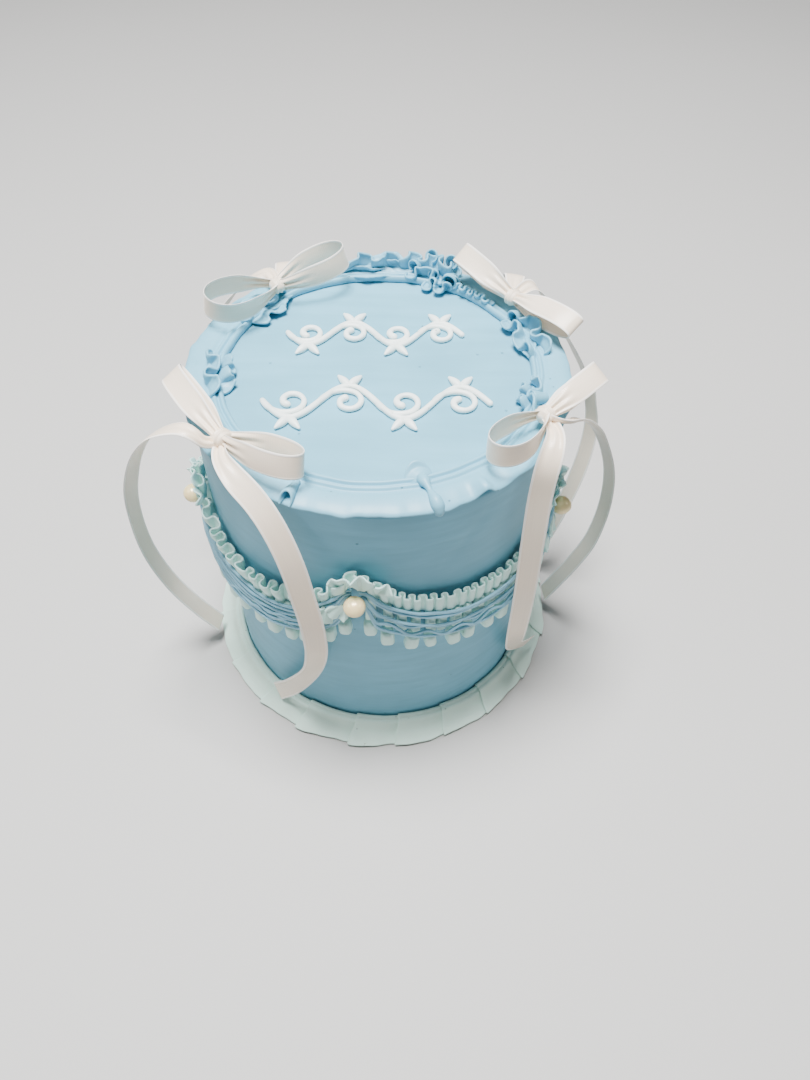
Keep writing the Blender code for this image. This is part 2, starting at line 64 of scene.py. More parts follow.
MM = 0.001
FULL_TURN = 2 * math.pi
UPWARD = Vector((0, 0, 1))
CAKE_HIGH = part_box("cake")[1]

# Two faint knife marks in the wall: the direction and height of each end
KNIFE_MARKS = ((245.7, 142.2, 253.8, 120.9), (304.5, 157.0, 289.6, 129.0))
MARK_HALF_WIDTH = 1.6

# The rim's border in section: radius and height in millimetres. Two ridges inside, then a
# flap with a thin lip that hangs over the cake's edge
BAND_SECTION = (
    (64.3, 168.4), (64.2, 169.6), (64.6, 170.7), (65.3, 171.2), (66.0, 170.9), (66.5, 170.0),
    (67.0, 169.8), (67.5, 170.6), (68.1, 171.0), (68.8, 170.6), (69.4, 169.9), (70.3, 170.0),
    (71.8, 170.6), (74.0, 170.7), (76.5, 170.4), (78.5, 169.9), (80.1, 169.3), (80.9, 168.6),
    (80.8, 168.0), (80.0, 168.0), (78.8, 168.6), (76.8, 168.8), (73.0, 168.5), (68.0, 168.3),
)
BAND_STEPS = 320
# Folds in its flap: direction and half width in degrees, how far up and how far out
BAND_FOLDS = (
    (240, 6, -0.4, 0.3), (250, 3.2, 1.0, 0.5), (263, 7, 0.3, 0.3), (287, 3, 0.6, 0.3),
    (295, 3.5, -0.6, -0.3), (301.5, 2.0, 4.2, 0.9), (306.5, 3, -0.9, 0.2), (322, 5, 0.6, 0.3),
    (338, 4, 0.9, 0.2), (352, 4, 0.8, 0.3), (6, 5, 1.2, 0.3), (18, 4, 0.8, 0.2),
    (160, 5, 0.6, 0.2), (171, 4, 0.3, 0.3), (206, 5, 0.5, 0.2), (221, 6, 0.3, 0.2),
)
RIM_LEVEL = 169.0  # petals on the rim go down to here, just inside the top icing
# Petal ruffles piped on the rim: from and to in degrees, radius and height of the foot,
# height, lean from upright (inward is negative), pitch of the folds and their swing
RIM_RUFFLES = (
    (61, 84, 73.5, 169.6, 9.2, 4, 11.5, 3.6),
    (83, 105, 72.5, 169.6, 9.4, -14, 14.0, 3.0),
    (58, 81, 69.0, 169.4, 8.0, -38, 11.5, 3.6),
    (60, 72, 66.2, 169.2, 8.0, -60, 13.0, 3.2),
    (41, 60, 66.4, 170.2, 4.0, -25, 4.4, 1.6),
    (7, 29, 71.5, 169.6, 7.0, -6, 13.0, 3.6),
    (6, 30, 67.0, 169.4, 8.0, -48, 13.5, 3.6),
    (175, 197, 70.0, 169.6, 7.6, -26, 13.0, 3.4),
    (177, 194, 66.2, 169.2, 8.5, -62, 12.0, 3.0),
    (130, 155, 68.5, 169.4, 6.8, -38, 12.0, 2.2),
    (132, 152, 65.5, 169.0, 9.0, -74, 12.0, 1.4),
    (336, 355, 68.0, 169.4, 6.8, -30, 11.0, 3.0),
    (338, 352, 65.4, 169.2, 7.0, -58, 10.0, 2.8),
)
# The roll of icing on the front of the rim: its middle's direction and radius, half width
# and height. Then the pinched line that crosses the flap from it: direction, radius, height
# and thickness at each point
FRONT_ROLL = (285.4, 62.6, 5.2, 4.8)
FRONT_DRIP = (
    (286.2, 66.6, 171.2, 2.4), (286.4, 69.0, 171.8, 2.2), (286.7, 71.6, 171.8, 1.3),
    (286.9, 73.4, 171.4, 1.1), (287.1, 75.4, 171.3, 1.7), (287.4, 77.6, 171.0, 2.4),
    (287.6, 79.6, 169.8, 2.6), (287.7, 80.8, 168.2, 2.0),
)
# A fold in the flap that shows its hollow: direction, from and to radius, height, half width
# and half height of the hollow
FLAP_FOLD = (247.5, 71.0, 81.4, 171.0, 2.4, 2.9)
# Petals rolled up, most of them at the back right: direction, radius and height of the foot,
# half width, length, the way the open end faces and how steeply it climbs, both in degrees
RIM_SCROLLS = (
    (62, 71.5, 169.6, 3.7, 8.5, 250, 12), (70, 72.5, 169.8, 2.6, 6.5, 262, 16),
    (76, 73.0, 170.4, 3.0, 7.0, 236, 24), (65, 77.0, 170.6, 3.4, 6.5, 262, 48),
    (72, 77.5, 170.6, 3.2, 6.5, 244, 54), (30, 72.0, 169.6, 3.0, 7.0, 230, 14),
    (345, 71.0, 169.4, 3.0, 6.5, 200, 10),
)
# Long petals that lie along the rim: from and to in degrees, radius and height of the middle,
# half width, and how far the inner and the outer edge curl up
RIM_LEAVES = (
    (83, 105, 67.6, 169.6, 4.6, 2.4, 3.0), (88, 108, 71.6, 170.6, 4.0, 3.6, 2.0),
    (80, 96, 74.6, 171.2, 4.2, 4.4, 3.6), (128, 147, 65.6, 169.4, 4.6, 1.8, 2.6),
    (133, 154, 70.4, 170.4, 4.0, 3.4, 2.4), (175, 191, 66.0, 169.4, 3.8, 1.8, 2.6),
    (339, 353, 65.8, 169.4, 3.4, 1.6, 2.4), (7, 25, 65.6, 169.4, 4.0, 1.8, 2.8),
)

# The border round the foot in section, and the directions where one pleat ends on the next
SKIRT_SECTION = (
    (79.6, 6.8), (79.9, 8.2), (80.6, 8.9), (81.3, 8.2), (81.9, 7.5), (82.6, 8.0), (83.4, 7.8),
    (84.3, 6.2), (86.0, 4.4), (88.4, 2.9), (90.6, 1.8), (92.2, 1.1),
)
SKIRT_BODY = (
    (79.4, 0.1), (79.4, 6.6), (80.4, 7.6), (83.0, 6.6), (84.2, 4.8), (88.0, 2.2), (91.2, 0.5), (91.0, 0.1),
)
PLEATS = (8, 26, 49, 70, 88, 110, 133, 150, 171, 190, 211, 229, 244, 262, 277, 293, 309, 327, 346)

# The garland: each pearl's direction and height, then the swags between the pearls, with the
# height of the ruffle's foot in the middle, the pitch and swing of its folds, and how far
# below the highest thread each thread hangs
PEARLS = {
    "front": (265, 120), "right": (342, 115), "back_right": (413, 116), "back_left": (484, 117),
    "left": (555, 115),
}
SWAGS = {
    "front_left": ("left", "front", 101.4, 7.0, 2.5, (0.0, 2.6, 5.4, 8.4, 11.2, 14.2)),
    "front_right": ("front", "right", 103.4, 4.7, 1.5, (0.0, 1.5, 7.0, 14.2)),
    "right": ("right", "back_right", 102.3, 6.2, 2.1, (0.0, 2.2, 6.0, 9.6, 14.0)),
    "back": ("back_right", "back_left", 101.3, 6.6, 2.4, (0.0, 2.6, 6.2, 10.2, 14.0)),
    "left": ("back_left", "left", 101.8, 5.6, 1.8, (0.0, 2.2, 5.4, 9.4, 14.0)),
}
THREADS_OVER_PEARL = 7.0  # how far above a pearl's middle the highest threads meet
# How far from the cake's axis the middle of each layer of the garland lies
STROKES_OUT = 81.6
DROPS_OUT = 82.8
THREADS_OUT = 84.5
THREAD_ENDS_OUT = 83.0
PEARLS_OUT = 87.0
# Wide petals beside each pearl: at the swag's start (0) or end (1), directions along, height
# above the pearl and distance from the wall, then width, length and lean in degrees
PEARL_PETALS = (
    (0, 1.6, 6.0, 4.0, 10.0, 11.0, 8), (0, 5.8, 4.6, 4.2, 8.0, 8.5, 30), (1, -3.0, 6.0, 4.0, 9.5, 9.0, -16),
    (1, -3.2, -3.4, 5.6, 9.5, 9.5, 214), (1, -8.0, -7.4, 5.8, 10.0, 9.0, 204),
)

# The bows: the knot's place, then two loops, each with the place of its tip, how far the
# ribbon's width leans up from level in degrees, and how far the loop opens
KNOT_LEVEL = 177.0
BOWS = {
    "front_left": ((-56.5, -49.9), ((-80.2, -18.1, 181), 30, 8), ((-24.7, -67.5, 181), 70, 12)),
    "front_right": ((65.6, -35.1), ((44.1, -60.3, 181), 86, 14), ((88.8, -14.2, 181), 30, 9)),
    "back_left": ((-46.5, 47.4), ((-74.0, 25.6, 181), 98, 17), ((-16.7, 63.1, 184), 80, 16)),
    "back_right": ((58.8, 40.7), ((35.8, 64.3, 184), 40, 8), ((82.7, 13.8, 181), 22, 8)),
}
# The tails: each one's route, and the way its width points at four even stages along it
TAILS = {
    "front_left_outer": (
        ((-62.2, -53.3, 178.8), (-64.4, -52.9, 181.6), (-69.6, -51.3, 183.5), (-77, -49.4, 180.8),
         (-85.1, -47.6, 174.8), (-93.3, -45, 162.3), (-100.5, -42, 144.5), (-105.6, -38.5, 124.6),
         (-108.7, -35, 99.4), (-108.7, -32, 76.3), (-105, -29, 51.1), (-97.2, -27.2, 28.4),
         (-88.5, -25.8, 10.5)),
        ((0.2, 0.9, 0.0), (0.05, 0.68, -0.74), (0.2, 0.9, -0.35), (0.3, 0.95, 0.0)),
    ),
    "front_left_inner": (
        ((-56.0, -58.4, 176.2), (-50.6, -66.6, 174.6), (-42, -74, 168.6), (-35.7, -79.6, 159.3),
         (-30.6, -84.4, 144.6), (-27.4, -87.5, 125.7), (-25.2, -89, 105.9), (-25.4, -88.5, 84.8),
         (-30.2, -84, 61.6), (-42.2, -75.5, 32), (-53.1, -67, 10.5)),
        ((0.86, 0.4, 0.32), (0.95, 0.25, 0.2), (0.97, 0.1, 0.1), (0.62, -0.79, 0.0)),
    ),
    "front_right_outer": (
        ((73.4, -39.4, 177), (76.4, -37.4, 176), (82, -32.5, 171.8), (89.9, -27, 161.2),
         (97.8, -23.6, 143.9), (103.2, -20, 124.4), (106.2, -16, 99.2), (105.8, -12, 71.1),
         (101.4, -8, 46.2), (95.8, -5, 25.5), (91.3, -3, 10.5)),
        ((-0.1, 0.75, -0.65), (-0.15, 0.8, -0.58), (-0.25, 0.85, -0.45), (-0.3, 0.9, -0.3)),
    ),
    "front_right_inner": (
        ((68.6, -43.6, 176.4), (67.6, -50.5, 174.6), (65.4, -56, 167.4), (64.5, -58.6, 153.7),
         (64.4, -62, 132.8), (64.9, -64, 107.3), (65.3, -64.2, 84.4), (66.2, -60.8, 58.5),
         (69, -51.5, 34), (74.3, -43.5, 21.5), (80.5, -36.5, 14)),
        ((1.0, 0.0, 0.0), (1.0, 0.0, 0.0), (0.97, 0.2, 0.0), (0.75, 0.5, 0.4)),
    ),
    "back_left_outer": (
        ((-51.4, 57.6, 176.8), (-57, 59.5, 174.4), (-65.8, 58.5, 168.5), (-75, 52, 160), (-83, 47.5, 150.6),
         (-88, 46, 142), (-92, 44, 132), (-94, 42, 115), (-94, 40, 95), (-93, 37, 70), (-91, 34, 45),
         (-89.5, 31.5, 25), (-87.5, 30, 10.5)),
        ((0.5, 0.8, 0.2), (0.5, 0.8, 0.2), (0.3, 0.95, 0.0), (0.3, 0.95, 0.0)),
    ),
    "back_left_inner": (
        ((-45.2, 60, 176.4), (-45, 69.5, 174.6), (-44, 81, 163), (-43.9, 90.5, 139.3), (-45, 96, 112),
         (-45, 96, 84), (-43, 93, 55), (-41, 88, 28), (-39.5, 83.5, 10.5)),
        ((1.0, 0.1, 0.0), (1.0, 0.3, 0.0), (1.0, 0.4, 0.0), (0.9, 0.4, 0.0)),
    ),
    "back_right_outer": (
        ((66.6, 49, 177), (71.4, 51, 174), (78.4, 50.5, 163), (88, 47.2, 150.2),
         (94.5, 44.6, 140.4), (101, 42, 129), (103.5, 39, 120), (106, 36, 108), (106, 33, 94),
         (104, 30, 78), (100.5, 27.5, 60), (96.5, 26, 42), (92.5, 26, 25), (89, 26.5, 10.5)),
        ((-0.5, 0.8, 0.2), (-0.5, 0.8, 0.3), (-0.5, 0.85, 0.1), (-0.3, 0.9, 0.0)),
    ),
    "back_right_inner": (
        ((60.6, 54, 176.2), (61.6, 63, 173.8), (61.6, 73.5, 160.5), (61, 82.5, 138.3), (61, 87, 112),
         (60, 87, 84), (57, 84.5, 55), (54.5, 80.5, 28), (52, 77, 10.5)),
        ((1.0, -0.2, 0.0), (1.0, -0.4, 0.0), (1.0, -0.5, 0.0), (0.9, -0.5, 0.0)),
    ),
}

# The piped vine: rows with the middle of the stem, its waves, their length and the swing
SCROLL_ROWS = {"upper": (-2, 24, 2.0, 38, 7.8), "lower": (0, -20, 2.0, 46, 9.6)}
CURL_END = 2.4  # radius of a curl at its inner end
CURL_TURN = 420  # degrees from the start of a curl to its end
LEAF_LENGTH = 7.4
LEAF_LEAN = 38  # degrees either side of straight out from the stem

# The camera that took the photo, as its ellipses of board, foot and rim give it
CAMERA_PLACE = (0.01234, -0.26612, 0.39048)
CAMERA_AIM = (0, 0.6203, -0.7843)
CAMERA_ROLL = 0.743  # degrees
# The lights, all aimed at the cake's middle: place, size and power
LIGHTS = {
    "overhead light": ((-0.1, 0.05, 1.5), 0.5, 74.0),
    "left light": ((-1.2, -0.2, 1.1), 0.5, 5.5),
    "right light": ((1.2, -0.1, 1.1), 0.5, 2.8),
    "front fill": ((0.0, -1.6, 1.0), 1.0, 1.4),
}
LIT_POINT = Vector((0, 0, 0.1))


def linear(hex_colour):
    """A colour given as sRGB hex digits, as linear red, green, blue and alpha."""
    shares = [int(hex_colour[index:index + 2], 16) / 255 for index in (0, 2, 4)]
    return (*[s / 12.92 if s <= 0.04045 else ((s + 0.055) / 1.055) ** 2.4 for s in shares], 1.0)


def length_setting(name, description, millimetres):
    """A length that a user may change."""
    return FloatProperty(
        name=name, description=description, default=millimetres * MM, unit="LENGTH", min=0.0
    )


def colour_setting(name, description, hex_colour):
    """A colour that a user may change."""
    return FloatVectorProperty(
        name=name, description=description, default=linear(hex_colour), subtype="COLOR", size=4,
        min=0.0, max=1.0,
    )


class IcingSettings(bpy.types.PropertyGroup):
    """Colours of the buttercream."""

    coat: colour_setting("Coat", "Smooth buttercream over the whole cake", "76B7CF")
    border: colour_setting("Top border", "Piped buttercream on the rim", "7AB8CF")
    strings: colour_setting("Strings", "Draped threads of the garland", "8CC2D8")
    petals: colour_setting("Petals and drops", "Pale mint buttercream", "D4FBF3")
    skirt: colour_setting("Foot border", "Mint buttercream round the foot", "D6F3E6")
    vine: colour_setting("Vine", "White buttercream of the piped vine", "F6FFFC")


class CakeSettings(bpy.types.PropertyGroup):
    """Sizes of the iced cake."""

    edge_radius: length_setting("Edge radius", "Rounding of the cake's top edge", 3.0)
    unevenness: length_setting("Unevenness", "How far the hand-spread coat wanders in and out", 0.25)
    mark_depth: length_setting("Knife marks", "Depth of the faint spatula marks in the wall", 0.35)
    steps: IntProperty(name="Steps", description="Faces round the cake", default=240, min=32, max=720)


class GarlandSettings(bpy.types.PropertyGroup):
    """Sizes of the garland on the wall."""

    petal_height: length_setting("Ruffle height", "Height of the petal ruffle", 9.5)
    string_radius: length_setting("String radius", "Half the thickness of a draped thread", 0.72)
    stroke_width: length_setting("Stroke width", "Width of the strokes behind the threads", 4.3)
    stroke_pitch: length_setting("Stroke pitch", "Distance between the strokes behind the threads", 5.9)
    drop_width: length_setting("Drop width", "Width of a hanging drop", 6.2)
    drop_height: length_setting("Drop height", "Height of a hanging drop", 9.5)
    drop_pitch: length_setting("Drop pitch", "Distance from one drop to the next", 8.6)
    pearl_width: length_setting("Pearl width", "Width of a sugar pearl", 9.0)
    pearl_height: length_setting("Pearl height", "Height of a sugar pearl", 8.2)
    pearl_colour: colour_setting("Pearl", "Cream of the sugar pearls", "FCDDA6")


class RibbonSettings(bpy.types.PropertyGroup):
    """Sizes and colour of the satin ribbon."""

    width: length_setting("Width", "Width of the ribbon", 10.0)
    thickness: length_setting("Thickness", "Thickness of the ribbon", 0.35)
    gathered: length_setting("Gathered width", "Width of the ribbon where it enters the knot", 5.0)
    colour: colour_setting("Satin", "Ivory of the satin", "FAEAD6")
    edge_colour: colour_setting("Selvedge", "Woven edge of the satin", "FAF4EC")


class StageSettings(bpy.types.PropertyGroup):
    """The floor, the light and the camera."""

    floor_width: FloatProperty(
        name="Floor width", description="Side of the pale floor", default=6.0, unit="LENGTH", min=1.0
    )
    floor_colour: colour_setting("Floor", "Pale floor", "BDBCBA")
    lens: FloatProperty(
        name="Lens", description="Focal length for the photographed view", default=26.93,
        unit="CAMERA", min=1.0,
    )


class LayerCakeSettings(bpy.types.PropertyGroup):
    """Everything that can be changed on the cake."""

    icing: PointerProperty(type=IcingSettings)
    cake: PointerProperty(type=CakeSettings)
    garland: PointerProperty(type=GarlandSettings)
    ribbon: PointerProperty(type=RibbonSettings)
    stage: PointerProperty(type=StageSettings)


def polar(radius, degrees, height):
    """The point at a radius, a direction and a height."""
    angle = math.radians(degrees)
    return Vector((radius * math.cos(angle), radius * math.sin(angle), height))


def blend(start, end, share):
    """The value or vector at a share of the way from start to end."""
    return start + (end - start) * share


def ease(share):
    """A smooth step from 0 to 1."""
    share = min(max(share, 0.0), 1.0)
    return share * share * (3 - 2 * share)


def wander(place, seed):
    """A slow hand-made drift between about -1 and 1 that is the same on every run."""
    return (
        0.5 * math.sin(1.3 * place + 1.9 * seed)
        + 0.3 * math.sin(2.9 * place + 3.7 * seed)
        + 0.2 * math.sin(6.1 * place + 2.3 * seed)
    )


def fold(turn, swing, pitch):
    """A rounded fold of a petal ruffle: how far it stands out, and how far it leans along."""
    return swing * math.sin(turn), -min(0.17 * pitch, 0.5 * swing) * math.sin(2 * turn)


def smooth_route(points, spacing):
    """Points about one spacing apart on a Catmull-Rom curve through the given points."""
    corners = [Vector(point) * MM for point in points]
    padded = [2 * corners[0] - corners[1], *corners, 2 * corners[-1] - corners[-2]]
    fine = []
    for a, b, c, d in zip(padded, padded[1:], padded[2:], padded[3:]):
        for step in range(24):
            t = step / 24
            point = 2 * b + (c - a) * t + (2 * a - 5 * b + 4 * c - d) * t**2
            fine.append(0.5 * (point + (3 * b - a - 3 * c + d) * t**3))
    fine.append(corners[-1])
    total = sum((b - a).length for a, b in zip(fine, fine[1:]))
    count = max(2, round(total / spacing))
    route = [fine[0]]
    walked = 0.0
    for a, b in zip(fine, fine[1:]):
        step = (b - a).length
        while len(route) < count and walked + step >= len(route) * total / count - 1e-9:
            route.append(a.lerp(b, (len(route) * total / count - walked) / step))
        walked += step
    route.append(fine[-1])
    return route


def spun(section, steps, closed):
    """A bmesh of a section of (radius, height) points turned about the vertical axis."""
    bm = bmesh.new()
    verts = [bm.verts.new((radius, 0.0, height)) for radius, height in section]
    edges = [bm.edges.new(pair) for pair in zip(verts, verts[1:])]
    if closed:
        edges.append(bm.edges.new((verts[-1], verts[0])))
    bmesh.ops.spin(
        bm, geom=verts + edges, cent=(0, 0, 0), axis=(0, 0, 1), angle=FULL_TURN, steps=steps, use_merge=True
    )
    bmesh.ops.remove_doubles(bm, verts=bm.verts, dist=0.01 * MM)
    bmesh.ops.recalc_face_normals(bm, faces=bm.faces)
    return bm


def add_strip(bm, columns, rows, size, place, thickness=None):
    """Add an open sheet: a grid that place(u, v) shapes. Its UV map is in metres."""
    uv = bm.loops.layers.uv.get("UVMap") or bm.loops.layers.uv.new("UVMap")
    weights = bm.verts.layers.deform.verify()
    verts = bmesh.ops.create_grid(bm, x_segments=columns, y_segments=rows, size=1)["verts"]
    shares = {vert: ((vert.co.x + 1) / 2, (vert.co.y + 1) / 2) for vert in verts}
    for face in {face for vert in verts for face in vert.link_faces}:
        for loop in face.loops:
            u, v = shares[loop.vert]
            loop[uv].uv = (u * size[0], v * size[1])
    for vert, (u, v) in shares.items():
        vert.co = place(u, v)
        vert[weights][0] = thickness(u, v) if thickness else 1.0


def finished(name, bm, material, nodes):
    """Make the bmesh a smooth piece of the cake that stands for its CAD nodes."""
    mesh = bpy.data.meshes.new(name)
    bm.to_mesh(mesh)
    bm.free()
    mesh.shade_smooth()
    return placed(name, mesh, material, nodes)


def placed(name, mesh, material, nodes):
    """Link a mesh as a piece that rides with the cake and replaces its CAD nodes."""
    piece = bpy.data.objects.new(name, mesh)
    bpy.context.scene.collection.objects.link(piece)
    mesh.materials.clear()
    mesh.materials.append(material)
    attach(piece, "root")
    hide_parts(*nodes)
    return piece


def thicken(piece, thickness, thin_edge=None, smoothing=1):
    """Give a sheet its thickness, thinner where its weights say, and round it off."""
    solidify = piece.modifiers.new("Thickness", "SOLIDIFY")
    solidify.thickness = thickness
    solidify.offset = 0
    if thin_edge is not None:
        piece.vertex_groups.new(name="thickness")
        solidify.vertex_group = "thickness"
        solidify.thickness_vertex_group = thin_edge
    if smoothing:
        rounding = piece.modifiers.new("Rounding", "SUBSURF")
        rounding.levels = smoothing
        rounding.render_levels = smoothing
    return piece


def lines_mesh(name, lines, sides):
    """One mesh of piped lines. A line is points with a radius each, rounded off at its ends."""
    curve = bpy.data.curves.new(name, "CURVE")
    curve.dimensions = "3D"
    curve.bevel_depth = 1.0
    curve.bevel_resolution = sides
    curve.use_fill_caps = True
    for line in lines:
        spline = curve.splines.new("POLY")
        spline.points.add(len(line) - 1)
        for knot, (point, radius) in zip(spline.points, line):
            knot.co = (*point, 1.0)
            knot.radius = radius
    holder = bpy.data.objects.new(name, curve)
    bpy.context.scene.collection.objects.link(holder)
    bpy.context.view_layer.update()
    mesh = bpy.data.meshes.new_from_object(holder.evaluated_get(bpy.context.evaluated_depsgraph_get()))
    bpy.data.objects.remove(holder)
    bpy.data.curves.remove(curve)
    mesh.shade_smooth()
    return mesh


def rounded_ends(line):
    """The line with its ends drawn in over one thickness, as icing breaks off from a tip."""
    (first, start_radius), (last, end_radius) = line[0], line[-1]
    outward = (first - line[1][0]).normalized()
    onward = (last - line[-2][0]).normalized()
    head = [
        (first + outward * start_radius * math.sin(turn), start_radius * math.cos(turn))
        for turn in (1.45, 1.05, 0.55)
    ]
    foot = [
        (last + onward * end_radius * math.sin(turn), end_radius * math.cos(turn))
        for turn in (0.55, 1.05, 1.45)
    ]
    return [*head, *line, *foot]


def set_inputs(tree, node, inputs):
    """Give each named input of a node a value or a link."""
    for name, value in inputs.items():
        if isinstance(value, bpy.types.NodeSocket):
            tree.links.new(value, node.inputs[name])
        else:
            node.inputs[name].default_value = value


def add_node(tree, kind, inputs=None, **settings):
    """Add a shader node with its settings and inputs."""
    made = tree.nodes.new("ShaderNode" + kind)
    for name, value in settings.items():
        setattr(made, name, value)
    set_inputs(tree, made, inputs or {})
    return made


def new_material(name):
    """An empty node material, with its tree and its Principled shader."""
    material = bpy.data.materials.new(name)
    material.use_nodes = True
    return material, material.node_tree, material.node_tree.nodes["Principled BSDF"]


def scaled(colour, share):
    """The colour at a share of its brightness."""
    return [min(channel * share, 1.0) for channel in colour[:3]] + [1.0]


def smooth_buttercream(colour):
    """Buttercream spread and drawn smooth with a warm spatula on a turntable: a soft matt coat
    with fine level streaks, faint cloudy tone and here and there the pit of an air bubble, with painted
    shade in it."""
    material, tree, shader = new_material("smooth blue buttercream")
    place = add_node(tree, "TexCoord").outputs["Object"]
    # Level streaks about 4 mm apart and 25 mm long on the wall, where the blade ran round it
    round_wall = add_node(tree, "Mapping", {"Vector": place, "Scale": (42.0, 42.0, 260.0)})
    wall_streaks = add_node(
        tree, "TexNoise", {"Vector": round_wall.outputs[0], "Scale": 1.0, "Detail": 3.0, "Roughness": 0.6}
    )
    # Strokes about 8 mm wide across the top, where the blade was drawn over it
    over_top = add_node(
        tree, "Mapping", {"Vector": place, "Rotation": (0, 0, 0.25), "Scale": (18.0, 130.0, 18.0)}
    )
    top_strokes = add_node(
        tree, "TexNoise", {"Vector": over_top.outputs[0], "Scale": 1.0, "Detail": 3.0, "Roughness": 0.55}
    )
    normal = add_node(tree, "SeparateXYZ", {0: add_node(tree, "NewGeometry").outputs["Normal"]})
    on_top = add_node(tree, "Math", {0: normal.outputs["Z"], 1: 0.7}, operation="GREATER_THAN")
    streaks = add_node(
        tree, "Mix", {0: on_top.outputs[0], 2: wall_streaks.outputs[0], 3: top_strokes.outputs[0]}
    )
    clouds = add_node(tree, "TexNoise", {"Vector": place, "Scale": 28.0, "Detail": 2.0})
    # Air bubbles about 0.8 mm across, some 15 mm apart
    bubbles = add_node(tree, "TexVoronoi", {"Vector": place, "Scale": 66.0})
    pits = add_node(
        tree, "MapRange", {"Value": bubbles.outputs["Distance"], "From Min": 0.015, "From Max": 0.045}
    )
    both = add_node(tree, "Math", {0: streaks.outputs[0], 1: clouds.outputs[0]}, operation="MULTIPLY")
    tone = add_node(tree, "MapRange", {"Value": both.outputs[0], "From Min": 0.12, "From Max": 0.42})
    base = add_node(
        tree, "Mix", {0: tone.outputs[0], 6: scaled(colour, 0.82), 7: colour}, data_type="RGBA"
    )
    # Painted shade: each bubble's pit is darkened to 0.6 of the colour, on top of its bump
    pit_shaded = add_node(
        tree, "Mix", {0: pits.outputs[0], 6: scaled(colour, 0.6), 7: base.outputs[2]}, data_type="RGBA"
    )
    grain = add_node(
        tree, "Bump", {"Strength": 0.35, "Distance": 0.0005, "Height": streaks.outputs[0]}
    )
    bump = add_node(
        tree, "Bump",
        {"Strength": 0.8, "Distance": 0.0005, "Height": pits.outputs[0], "Normal": grain.outputs[0]},
    )
    set_inputs(tree, shader, {
        "Base Color": pit_shaded.outputs[2], "Normal": bump.outputs[0], "Roughness": 0.48, "IOR": 1.45,
        "Specular IOR Level": 0.3, "Subsurface Weight": 0.12, "Subsurface Radius": (1.0, 1.1, 1.2),
        "Subsurface Scale": 0.002,
    })
    return material


def piped_buttercream(name, colour, roughness=0.42):
    """Buttercream pressed through a metal tip: smoother and a little shinier than the coat,
    with a fine drag along the folds and a few burst air bubbles, with painted shade in their pits."""
    material, tree, shader = new_material(name)
    place = add_node(tree, "TexCoord").outputs["Object"]
    # Drag marks about 1 mm apart, drawn out level
    drawn = add_node(tree, "Mapping", {"Vector": place, "Scale": (90.0, 90.0, 620.0)})
    drag = add_node(tree, "TexNoise", {"Vector": drawn.outputs[0], "Scale": 1.0, "Detail": 2.0})
    clouds = add_node(tree, "TexNoise", {"Vector": place, "Scale": 60.0, "Detail": 2.0})
    # Burst bubbles about 0.7 mm across, some 7 mm apart
    bubbles = add_node(tree, "TexVoronoi", {"Vector": place, "Scale": 140.0})
    pits = add_node(
        tree, "MapRange", {"Value": bubbles.outputs["Distance"], "From Min": 0.03, "From Max": 0.07}
    )
    base = add_node(
        tree, "Mix", {0: clouds.outputs[0], 6: scaled(colour, 0.92), 7: colour}, data_type="RGBA"
    )
    # Painted shade: the pits of the burst bubbles are darkened to 0.55 of the colour, on top of their bump
    pit_shaded = add_node(
        tree, "Mix", {0: pits.outputs[0], 6: scaled(colour, 0.55), 7: base.outputs[2]}, data_type="RGBA"
    )
    grain = add_node(tree, "Bump", {"Strength": 0.25, "Distance": 0.0004, "Height": drag.outputs[0]})
    bump = add_node(
        tree, "Bump",
        {"Strength": 0.7, "Distance": 0.0004, "Height": pits.outputs[0], "Normal": grain.outputs[0]},
    )
    set_inputs(tree, shader, {
        "Base Color": pit_shaded.outputs[2], "Normal": bump.outputs[0], "Roughness": roughness, "IOR": 1.45,
        "Subsurface Weight": 0.15, "Subsurface Radius": (1.0, 1.1, 1.2), "Subsurface Scale": 0.0018,
    })
    return material


